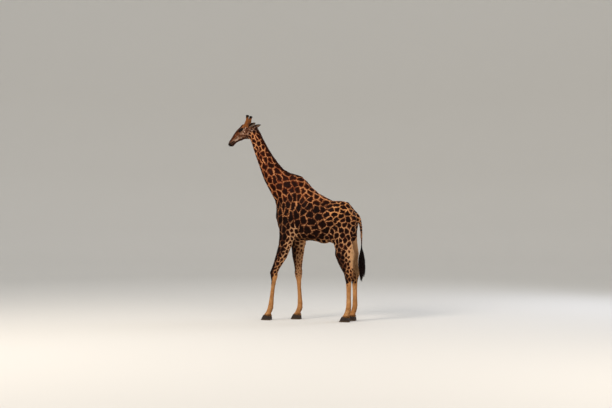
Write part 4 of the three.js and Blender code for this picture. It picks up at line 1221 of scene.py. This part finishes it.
# Strands: the mane, tail, lashes and other long hair are three-sided tapered locks, each swept along
# a short path of its own from its root to a fine tip.
def strands(name, paths, widths, uv, colours=None):
    """paths holds the points of each strand, and widths its half width at each point but the tip."""
    count, steps, _ = paths.shape
    ahead = np.gradient(paths, axis=1)
    ahead /= np.linalg.norm(ahead, axis=2, keepdims=True).clip(1e-9)
    aside = np.cross(ahead, RANDOM.normal(size=(count, 1, 3)))
    aside /= np.linalg.norm(aside, axis=2, keepdims=True).clip(1e-9)
    across = np.cross(ahead, aside)
    rings = []
    for turn in (0, math.tau / 3, 2 * math.tau / 3):
        rings.append(paths[:, :-1] + widths[:, :, None] * (
            math.cos(turn) * aside[:, :-1] + math.sin(turn) * across[:, :-1]))
    rings = np.stack(rings, 2).reshape(count, -1, 3)
    points = np.concatenate([rings, paths[:, -1:]], 1)
    faces = [(0, 2, 1)]
    for k in range(steps - 2):
        for j in range(3):
            a, b = 3 * k + j, 3 * k + (j + 1) % 3
            faces += [(a, b, b + 3), (a, b + 3, a + 3)]
    last, tip = 3 * (steps - 2), 3 * (steps - 1)
    faces += [(last + j, last + (j + 1) % 3, tip) for j in range(3)]
    each = points.shape[1]
    faces = (np.array(faces)[None] + each * np.arange(count)[:, None, None]).reshape(-1, 3)
    rise = np.concatenate([np.repeat(np.linspace(0, 1, steps)[:-1], 3), [1.0]])
    spot_on_map = MAP_DOT * np.stack([np.tile((0, 1, -1), each)[:each], 2 * rise - 1], 1)
    mesh = triangle_mesh(name, points.reshape(-1, 3), faces,
                         np.clip(uv[:, None] + spot_on_map[None], 0, 1).reshape(-1, 2))
    keep_on(mesh, "up_hair", np.tile(rise, count))
    keep_on(mesh, "own_tone", np.repeat(RANDOM.random(count), each))
    for key, values in (colours or {}).items():
        keep_on(mesh, key, np.repeat(values, each, axis=0))
    return mesh


def curved(roots, ways, lengths, sag, steps):
    """Paths that leave their roots along ways and bend off by sag at the tip, in lengths."""
    t = np.linspace(0, 1, steps)[None, :, None]
    return roots[:, None] + lengths[:, None, None] * (ways[:, None] * t + sag[:, None] * t * t)


def tapered(widths, steps, power=0.6):
    return widths[:, None] * (1 - np.linspace(0, 1, steps)[:-1]) ** power


def coarse_hair(name, root, tip, rough=0.45):
    # Coarse hair: one dark colour that lightens to the tip, each strand a little different.
    hair = blank(name)
    rise = node(hair, "Attribute", {"attribute_name": "up_hair"}).outputs["Fac"]
    run = node(hair, "Mix", {"data_type": "RGBA", 6: linear(root), 7: linear(tip)}, _0=rise)
    tone = node(hair, "MapRange", {"To Min": 0.65, "To Max": 1.35},
                Value=node(hair, "Attribute", {"attribute_name": "own_tone"}).outputs["Fac"])
    shade = node(hair, "VectorMath", {"operation": "SCALE"}, _0=run.outputs[2], _3=tone.outputs[0])
    return finish(hair, node(hair, "BsdfPrincipled", {"Roughness": rough, "Specular IOR Level": 0.12},
                             Base_Color=shade.outputs[0]))


# Mane: stiff upright hair along the crest of the neck, from between the ears to the withers. A low
# bed of matted hair fills the crest, and the strands stand in it and lean a little down the neck.
MANE_STRANDS = 11000
mane_bed = cast(["mane"], 0.0055, 0)
bed_points = ease(places(mane_bed), edges(mane_bed), 20)
set_places(mane_bed, bed_points)
crest, crest_out = bed_points.copy(), normals(mane_bed)
crest_thirds = triangles(mane_bed)
_, _, crest_way, crest_foot = along(crest, LIMBS["neck"][0])
crest_up = flat_on(crest_way, crest - crest_foot)
every, middle = np.arange(len(crest_thirds)), np.full((len(crest_thirds), 3), 1 / 3)
third_up, third_out = (mixed(ways, crest_thirds, every, middle) for ways in (crest_up, crest_out))
on_top = fade((third_up * third_out).sum(1), -0.05, 0.35)
picks, share, tips, tip_out = planted(crest, crest_out, crest_thirds, on_top, MANE_STRANDS)
tip_up, tip_way = (mixed(ways, crest_thirds, picks, share) for ways in (crest_up, crest_way))
hair_way = unit(tip_up + 0.16 * tip_way + 0.25 * tip_out + RANDOM.normal(0, 0.07, tips.shape))
lengths = RANDOM.uniform(0.040, 0.062, len(tips))
roots = tips - hair_way * (lengths - RANDOM.uniform(-0.004, 0.003, len(tips)))[:, None]
_, run, _, _ = along(roots, LIMBS["neck"][0])
mane_uv = np.stack([0.02 + 0.96 * (run - run.min()) / np.ptp(run), 0.5 + 6.0 * (
    from_shoulders(roots)[:, 1] - np.interp(run, (0, 1.0), (-0.03, 0.0)))], 1)
mane_hair = strands("mane_hair", curved(roots, hair_way, lengths, 0.12 * tip_way, 4),
                    tapered(RANDOM.uniform(0.0012, 0.0022, len(tips)), 4), np.clip(mane_uv, 0.01, 0.99))
fit("mane_hair", mane_hair, coarse_hair("mane_hair", "#1c0d07", "#4a2414"), "mane", "mane")
_, run, _, _ = along(bed_points, LIMBS["neck"][0])
sunk = 0.010 * crest_out + (0.030 * fade(run, 0.26, 0.12))[:, None] * crest_up
set_places(mane_bed, bed_points - sunk)
smooth(mane_bed)


def matted_hair(name, dark, light):
    # The underlying mat of hair, seen only between the strands.
    mat = blank(name)
    place = node(mat, "TexCoord").outputs["Object"]
    grain = node(mat, "TexNoise", {"Scale": 1 / 0.004, "Detail": 3.0}, Vector=place)
    shade = node(mat, "Mix", {"data_type": "RGBA", 6: linear(dark), 7: linear(light)},
                 _0=grain.outputs["Fac"])
    bump = node(mat, "Bump", {"Strength": 0.7, "Distance": 0.003}, Height=grain.outputs["Fac"])
    return finish(mat, node(mat, "BsdfPrincipled", {"Roughness": 0.8, "Specular IOR Level": 0.15},
                            Base_Color=shade.outputs[2], Normal=bump.outputs[0]))


fit("mane_bed", mane_bed, matted_hair("matted_mane", "#150a06", "#2e170d"), "mane")

# Tail: long black wavy hair hanging from the end of the dock in one thick switch. It falls in locks
# of unequal length, whose hairs draw together toward their tips.
low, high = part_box("tail_tuft")
top, bottom = high.z + 0.085, low.z + 0.012
middle = np.array(((low.x + high.x) / 2 + 0.008, (low.y + high.y) / 2))
COUNT, STEPS, LOCKS = 1700, 10, 30
t = np.linspace(0, 1, STEPS)[None]
start = top - RANDOM.random((COUNT, 1)) ** 1.9 * 0.42 * (top - bottom)
lock = RANDOM.integers(0, LOCKS, COUNT)
lock_end = (RANDOM.random(LOCKS) ** 1.6 * 0.34)[lock][:, None]
end = bottom + lock_end + np.abs(RANDOM.normal(0, 0.05, (COUNT, 1)))
end = np.minimum(end, start - 0.16)
heights = start + (end - start) * t
down = (top - heights) / (top - bottom)
bulge = np.interp(down, (0.0, 0.10, 0.22, 0.38, 0.58, 0.80, 0.93, 1.0),
                  (0.20, 0.26, 0.62, 0.90, 1.0, 0.82, 0.52, 0.18))
lock_angle = (RANDOM.random(LOCKS) * math.tau)[lock][:, None]
lock_out = (np.sqrt(RANDOM.random(LOCKS)) * 0.90)[lock][:, None]
loose = 1 - 0.45 * t
angle = lock_angle + loose * RANDOM.normal(0, 0.42, (COUNT, 1))
out_share = np.clip(lock_out + loose * RANDOM.normal(0, 0.22, (COUNT, 1)), 0.03, 1.0)
ALL_ROUND = 6.3  # a full turn, for the waves' starts
bends = RANDOM.uniform(6, 11, LOCKS)[lock][:, None]
phase = (RANDOM.random(LOCKS) * ALL_ROUND)[lock][:, None]
wave = 0.010 * np.sin(t * bends + phase) * t
wave += 0.004 * np.sin(t * RANDOM.uniform(9, 16, (COUNT, 1)) + RANDOM.random((COUNT, 1)) * ALL_ROUND) * t
half_x, half_y = (high.x - low.x) / 2 - 0.006, (high.y - low.y) / 2 - 0.006
settle = np.clip(0.55 + 1.0 * t, 0, 1)
bone = spot(-0.907, 0, 1.6).x - middle[0]
off_x = half_x * bulge * out_share * settle * np.cos(angle)
off_y = half_y * bulge * out_share * settle * np.sin(angle)
switch = np.stack([middle[0] + bone * fade(down, 0.30, 0.08) + off_x + wave,
                   middle[1] + off_y + wave * 0.7, heights], 2)
tail_uv = np.stack([0.05 + 0.9 * (angle[:, 0] % math.tau) / math.tau,
                    0.05 + 0.9 * (top - start[:, 0]) / (top - bottom)], 1)
tail_widths = tapered(RANDOM.uniform(0.0011, 0.0019, COUNT), STEPS, 0.35)
fit("tail_hair", strands("tail_hair", switch, tail_widths, tail_uv),
    coarse_hair("tail_hair", "#0d0706", "#1c0e0b", 0.38), "tail_tuft", "tail_tuft")


# Ossicones: two short horns of bone grown over with skin and brown hair, worn at the knobbed ends,
# where a ring of longer black hair stands round each tip.
def bony(name, dark, light, grain, rough):
    # Skin over bone, or horn itself: mottled and lightly pitted.
    bone = blank(name)
    place = node(bone, "TexCoord").outputs["Object"]
    mottle = node(bone, "TexNoise", {"Scale": 1 / grain, "Detail": 4.0}, Vector=place)
    shade = node(bone, "Mix", {"data_type": "RGBA", 6: linear(dark), 7: linear(light)},
                 _0=mottle.outputs["Fac"])
    bump = node(bone, "Bump", {"Strength": 0.3, "Distance": 0.002}, Height=mottle.outputs["Fac"])
    return finish(bone, node(bone, "BsdfPrincipled", {"Roughness": rough, "Specular IOR Level": 0.3},
                             Base_Color=shade.outputs[2], Normal=bump.outputs[0]))


def horn_colours(name):
    """Brown up the stem and black round the knob, darkened towards black as painted shade where the hair
    faces forward.
    """
    def colour_of(material):
        black_hair_and_shade = node(material, "Attribute", {"attribute_name": "black_hair_and_shade"}).outputs["Fac"]
        return node(material, "Mix", {"data_type": "RGBA", 6: linear("#7b451b"), 7: linear("#0b0706")},
                    _0=black_hair_and_shade).outputs[2]
    return coat_hair(name, colour_of)


def soften(points, pairs, passes):
    """Draws each point half way to its neighbours' middle, time after time."""
    for _ in range(passes):
        points = points + 0.5 * (spread(points, pairs) - points)
    return points


HORN_TUFTS = 9000
skin_tree = BVHTree.FromPolygons(hide_points.tolist(), thirds.tolist())
horn_hair = horn_colours("ossicone_hair")
horn_skin = bony("ossicone_skin", "#4a2a12", "#80501f", 0.006, 0.7)
for side, _ in SIDES:
    horn = cast(["horn_" + side], 0.0032, 0)
    horn_points = soften(ease(places(horn), edges(horn), 110), edges(horn), 9)
    set_places(horn, horn_points)
    horn_out = normals(horn)
    height = half_head(horn_points)[:, 2]
    rise = (height - height.min()) / np.ptp(height)
    foot, top = horn_points[rise < 0.1].mean(0), horn_points[rise > 0.9].mean(0)
    stem = unit(top - foot)
    above_skin = np.array([skin_tree.find_nearest(place)[3] for place in horn_points])
    horn_points = horn_points - 0.003 * horn_out
    off = horn_points - foot
    off -= (off @ stem)[:, None] * stem
    ahead = fade(horn_out @ FACE_AHEAD, -0.2, 0.9)
    flare = 0.09 + fade(rise, 0.85, 0.05) ** 1.3 * (0.80 * ahead - 0.08)
    horn_points += flare[:, None] * off - (0.034 * fade(above_skin, 0.016, 0.005))[:, None] * stem
    set_places(horn, horn_points)
    smooth(horn)
    fit("ossicone_" + side, horn, horn_skin, "horns", "horn_" + side)
    horn_thirds = triangles(horn)
    by_knob = 1 + fade(rise[horn_thirds].mean(1), 0.7, 0.85)
    picks, _, roots, out = planted(horn_points, horn_out, horn_thirds, by_knob, HORN_TUFTS)
    out = unit(out)
    level = rise[horn_thirds[picks]].mean(1)
    knob = fade(level, 0.64, 0.76)
    way = flat_on(out, np.tile(stem, (len(roots), 1)) + 0.02 * RANDOM.normal(size=roots.shape))
    from_middle = roots - roots.mean(0)
    around = np.arctan2(from_middle[:, 1], from_middle[:, 0]) / math.tau + 0.5
    # painted shade: the tufts facing forward are darkened towards black
    shaded = 0.45 * fade(out @ FACE_AHEAD, 0.35, 0.95)
    mesh = tufts("ossicone_hair_" + side, roots, out, way, 0.011 + 0.012 * knob,
                 np.full(len(roots), 0.0028), 0.0008 + 0.0085 * knob,
                 0.02 + 0.96 * np.stack([around, level], 1), {"black_hair_and_shade": np.maximum(knob, shaded)})
    fit("ossicone_hair_" + side, mesh, horn_hair, "horns")


# Hooves: two claws of dark horn to each foot, ringed with growth and flat below. Each foot's pair is
# cast as one mesh from its two solids, and the rings are raised on the wall.
def hoof_horn():
    # Hoof horn: dark grey-brown, drawn in fine bands round the wall, scuffed paler and dusty low down.
    horn = blank("hoof_horn")
    place = node(horn, "TexCoord").outputs["Object"]
    tall = node(horn, "SeparateXYZ", _0=place).outputs[2]
    rings = node(horn, "TexNoise", {"noise_dimensions": "1D", "Scale": 1 / 0.007, "Detail": 2.0},
                 W=tall)
    scuffs = node(horn, "TexNoise", {"Scale": 1 / 0.009, "Detail": 5.0, "Roughness": 0.7},
                  Vector=place)
    both = node(horn, "Mix", {"data_type": "FLOAT", 0: 0.5}, _2=rings.outputs["Fac"],
                _3=scuffs.outputs["Fac"])
    shade = node(horn, "Mix", {"data_type": "RGBA", 6: linear("#120c09"), 7: linear("#3a2a20")},
                 _0=both.outputs[0])
    low = node(horn, "MapRange", {"From Min": 0.0, "From Max": 0.035, "To Min": 0.5, "To Max": 0.0},
               Value=tall)
    dusty = node(horn, "Mix", {"data_type": "RGBA", 7: linear("#6e583f")}, _0=low.outputs[0],
                 _6=shade.outputs[2])
    bump = node(horn, "Bump", {"Strength": 0.4, "Distance": 0.001}, Height=both.outputs[0])
    dull = {"Roughness": 0.55, "IOR": 1.54, "Specular IOR Level": 0.22}
    return finish(horn, node(horn, "BsdfPrincipled", dull, Base_Color=dusty.outputs[2],
                             Normal=bump.outputs[0]))


horn_of_hoof = hoof_horn()
for leg in ("foreleg_left", "foreleg_right", "hindleg_left", "hindleg_right"):
    claws = [leg + "_claw_outer", leg + "_claw_inner"]
    hoof = cast(claws, 0.0042, 0)
    was = places(hoof)
    hoof_points = soften(ease(was, edges(hoof), 40), edges(hoof), 14)
    height = hoof_points[:, 2]
    rim = fade(height, 0.004, 0.02) * fade(height, 0.112, 0.095)
    band = np.sin(height / 0.0085 * math.tau + 1.5 * ripple(hoof_points, 0.06, 4))
    swell = rim * (0.0010 * band - 0.0008) + 0.0012 * ripple(hoof_points, 0.022, 5) * rim
    hoof_points = hoof_points + normals(hoof) * swell[:, None]
    flat_sole = was[:, 2] < 0.004
    hoof_points[:, 2] = np.where(flat_sole, 0.0, hoof_points[:, 2].clip(0.0))
    set_places(hoof, hoof_points)
    smooth(hoof)
    fit("hooves_" + leg, hoof, horn_of_hoof, "hooves", *claws)


# Coronet hair: where the hide meets the hoof, a thick fringe of hair hangs over the top of the horn,
# darker at its roots and of the cannon's own brown at its tips.
CORONET, CORONET_HAIRS = 0.124, 2600  # its height in metres, and how many hairs
by_coronet = fade(np.abs(third_middles[:, 2] - CORONET), 0.014, 0.008)
_, _, roots, out = planted(hide_points, facing, thirds, by_coronet, CORONET_HAIRS)
out[:, 2] = out[:, 2].clip(-0.2, 0.4)
out = unit(out)
ways = unit(0.75 * out + np.array((0, 0, -1.0)) + RANDOM.normal(0, 0.10, out.shape))
fringe_uv = np.stack([0.5 + 0.3 * roots[:, 0], 0.5 + 1.2 * roots[:, 1]], 1)
lengths = RANDOM.uniform(0.020, 0.036, CORONET_HAIRS)
droop = np.tile((0, 0, -0.35), (CORONET_HAIRS, 1))
fringe = strands("coronet_hair", curved(roots - 0.001 * out, ways, lengths, droop, 4),
                 tapered(np.full(CORONET_HAIRS, 0.0011), 4), np.clip(fringe_uv, 0.01, 0.99))
fit("coronet_hair", fringe, coarse_hair("coronet_hair", "#6f4524", "#a87846", 0.6), "leg_coat")


# Eyes: large dark balls set deep in the head, looking out sideways. The pupil is a level bar in a
# brown iris, under one clear wet cornea.
def eye_material():
    # A wet eye: brown iris with radial streaks round a level black pupil, under a clear cornea.
    eye = blank("wet_eye")
    gaze = node(eye, "Attribute", {"attribute_name": "gaze"})
    at = node(eye, "SeparateXYZ", _0=gaze.outputs["Vector"])
    wide = node(eye, "Math", {"operation": "MULTIPLY", 1: 1 / 0.46}, _0=at.outputs[0])
    high = node(eye, "Math", {"operation": "MULTIPLY", 1: 1 / 0.24}, _0=at.outputs[1])
    squares = [node(eye, "Math", {"operation": "POWER", 1: 2.0},
                    _0=node(eye, "Math", {"operation": "ABSOLUTE"}, _0=v.outputs[0]).outputs[0])
               for v in (wide, high)]
    bar = node(eye, "Math", {"operation": "ADD"}, _0=squares[0].outputs[0], _1=squares[1].outputs[0])
    iris = node(eye, "MapRange", {"From Min": 0.9, "From Max": 1.15}, Value=bar.outputs[0])
    flat = node(eye, "CombineXYZ", _0=at.outputs[0], _1=at.outputs[1])
    edge = node(eye, "VectorMath", {"operation": "LENGTH"}, _0=flat.outputs[0])
    streaks = node(eye, "TexNoise", {"Scale": 9.0, "Detail": 3.0}, Vector=flat.outputs[0])
    brown = node(eye, "Mix", {"data_type": "RGBA", 6: linear("#0e0704"), 7: linear("#2b170c")},
                 _0=streaks.outputs["Fac"])
    rim = node(eye, "MapRange", {"From Min": 0.60, "From Max": 0.72}, Value=edge.outputs["Value"])
    ringed = node(eye, "Mix", {"data_type": "RGBA", 7: linear("#120a08")}, _0=rim.outputs[0],
                  _6=brown.outputs[2])
    colour = node(eye, "Mix", {"data_type": "RGBA", 6: linear("#050303")}, _0=iris.outputs[0],
                  _7=ringed.outputs[2])
    wet = {"Roughness": 0.3, "Specular IOR Level": 0.03, "Coat Weight": 0.30, "Coat Roughness": 0.03,
           "Coat IOR": 1.376}
    return finish(eye, node(eye, "BsdfPrincipled", wet, Base_Color=colour.outputs[2]))


wet_eye = eye_material()
for side, sign in SIDES:
    axes = gaze_axes(sign)
    bm = bmesh.new()
    bmesh.ops.create_uvsphere(bm, u_segments=56, v_segments=36, radius=EYE_BALL)
    ball = bpy.data.meshes.new("eyeball_" + side)
    bm.to_mesh(ball)
    bm.free()
    at = places(ball)
    stored = ball.attributes.new("gaze", "FLOAT_VECTOR", "POINT")
    stored.data.foreach_set("vector", np.ascontiguousarray(at / EYE_BALL, np.float32).ravel())
    set_places(ball, np.array(eye_centres[side]) + at @ axes)
    smooth(ball)
    fit("eyeball_" + side, ball, wet_eye, "eyes", "eye_" + side)


# Lashes and fine hair: long dark lashes on the upper lids, bristles on the lips and chin, and a
# fringe of pale hair inside each ear.
def lid_places(side, sign, count, upper):
    """Places round the lid's rim, with the way out and the way up from it."""
    axes = gaze_axes(sign)
    turn = np.linspace(0.10, 0.90, count) * math.pi
    turn = turn + RANDOM.normal(0, 0.02, count)
    across, over = np.cos(turn), np.sin(turn)
    a = LID_WIDE * 1.06 * np.sign(across) * np.abs(across) ** (2 / LID_POWER)
    b = (LID_UPPER if upper else -LID_LOWER) * 1.10 * over ** (2 / LID_POWER)
    h = dome(EYE_BALL + 0.0035, a, b) + 0.0003
    rim = np.array(eye_centres[side]) + np.stack([a, b, h], 1) @ axes
    up = 0.35 if upper else -0.5
    lean = np.stack([0.5 * a / LID_WIDE, np.full(count, up), np.ones(count)], 1) @ axes
    return rim, unit(lean), axes


lash_paths, lash_widths, lash_uv = [], [], []
for side, sign in SIDES:
    for upper, count, long in ((True, 150, 0.024), (False, 70, 0.010)):
        rim, lean, axes = lid_places(side, sign, count, upper)
        lean = lean + RANDOM.normal(0, 0.08, lean.shape)
        sag = np.tile((-0.30 if upper else -0.25) * axes[1], (count, 1))
        lengths = long * RANDOM.uniform(0.75, 1.1, count)
        lash_paths.append(curved(rim - 0.002 * lean, lean, lengths, sag, 6))
        lash_widths.append(tapered(np.full(count, 0.00045), 6))
        lash_uv.append(np.stack([np.linspace(0.02, 0.98, count),
                                 np.full(count, 0.25 + 0.5 * (sign > 0) + 0.1 * upper)], 1))
ear_paths, ear_widths, ear_uv, ear_tones = [], [], [], []
third_out = facing[thirds].mean(1)
for side, sign in SIDES:
    _, run, ear_way, foot = along(third_middles, LIMBS["ear_" + side][0])
    up_ear = (third_middles - foot) @ FACE_UP
    faced = third_out @ FACE_LEFT * sign
    on_it = fade(third_shares["ear_" + side], 0.25, 0.5) * fade(run, 0.19, 0.16)
    in_cup = on_it * fade(faced, 0.2, 0.6) * fade(up_ear, 0.016, -0.004) * fade(run, 0.16, 0.05)
    on_rim = on_it * fade(np.abs(faced), 0.75, 0.35) * fade(run, 0.03, 0.06)
    for weight, count, long, pale in ((in_cup, 1100, 0.030, 1.0), (on_rim, 700, 0.011, 0.0)):
        picks, _, roots, out = planted(hide_points, facing, thirds, weight, count)
        out = unit(out)
        inward = np.sign(up_ear[picks])[:, None] * FACE_UP
        ways = 0.9 * ear_way[picks] - (0.8 * pale - 0.5) * inward + (0.42 - 0.1 * pale) * out
        ways = unit(ways + RANDOM.normal(0, 0.10, ways.shape))
        lengths = long * RANDOM.uniform(0.6, 1.15, count)
        ear_paths.append(curved(roots - 0.001 * out, ways, lengths, -0.25 * out, 5))
        ear_widths.append(tapered(np.full(count, 0.00045), 5))
        ear_uv.append(laid(*rolled_out(roots, "ear_" + side), spans["ear_" + side],
                           (0.0, 0.5 * (sign > 0), 1.0, 0.5 + 0.5 * (sign > 0))))
        dark = np.maximum(1 - pale, fade(up_ear[picks], 0.002, 0.012))
        dark = dark * RANDOM.uniform(0.93, 1.0, count)
        ear_tones.append(np.where(up_ear[picks] < -0.006, 0.45 * dark, dark))


def ear_hair():
    # Long fine ear hair: pale grey-brown in the ear's cup, dark along its upper rim.
    hair = blank("ear_hair")
    tone = node(hair, "Mix", {"data_type": "RGBA", 6: linear("#8c7b6c"), 7: linear("#150d09")},
                _0=node(hair, "Attribute", {"attribute_name": "dark"}).outputs["Fac"])
    return finish(hair, node(hair, "BsdfPrincipled", {"Roughness": 0.5, "Specular IOR Level": 0.12},
                             Base_Color=tone.outputs[2]))


fringe = strands("ear_fringe", np.concatenate(ear_paths), np.concatenate(ear_widths),
                 np.clip(np.concatenate(ear_uv), 0.01, 0.99), {"dark": np.concatenate(ear_tones)})
fit("ear_fringe", fringe, ear_hair(), "face_coat")
lashes = strands("lashes", np.concatenate(lash_paths), np.concatenate(lash_widths),
                 np.concatenate(lash_uv))
fit("lashes", lashes, coarse_hair("lash_hair", "#0a0605", "#120b09", 0.35), "face_coat")

BRISTLES = 420
chosen = half_head(third_middles)
lips = fade(chosen[:, 0], 0.50, 0.60) * fade(form(chosen, MOUTH, 0.035, 1.0), 0.1, 0.5)
chin = fade(chosen[:, 0], 0.40, 0.50) * fade(chosen[:, 2], -0.02, -0.045)
of_head = third_region == REGIONS.index("head")
_, _, roots, out = planted(hide_points, facing, thirds, (lips + chin) * of_head, BRISTLES)
out = unit(out)
_, way = shares_of(roots)
ways = unit(out + 0.4 * flat_on(out, way) + RANDOM.normal(0, 0.15, out.shape))
bristle_uv = laid(*rolled_out(roots, "head"), spans["head"], (0, 0, 1, 1))
lengths = RANDOM.uniform(0.008, 0.022, BRISTLES)
droop = np.tile((0, 0, -0.3), (BRISTLES, 1))
bristles = strands("lip_bristles", curved(roots - 0.001 * out, ways, lengths, droop, 4),
                   tapered(np.full(BRISTLES, 0.00035), 4), np.clip(bristle_uv, 0.01, 0.99))
fit("lip_bristles", bristles, coarse_hair("bristle", "#15100d", "#3a2e26"), "face_coat")
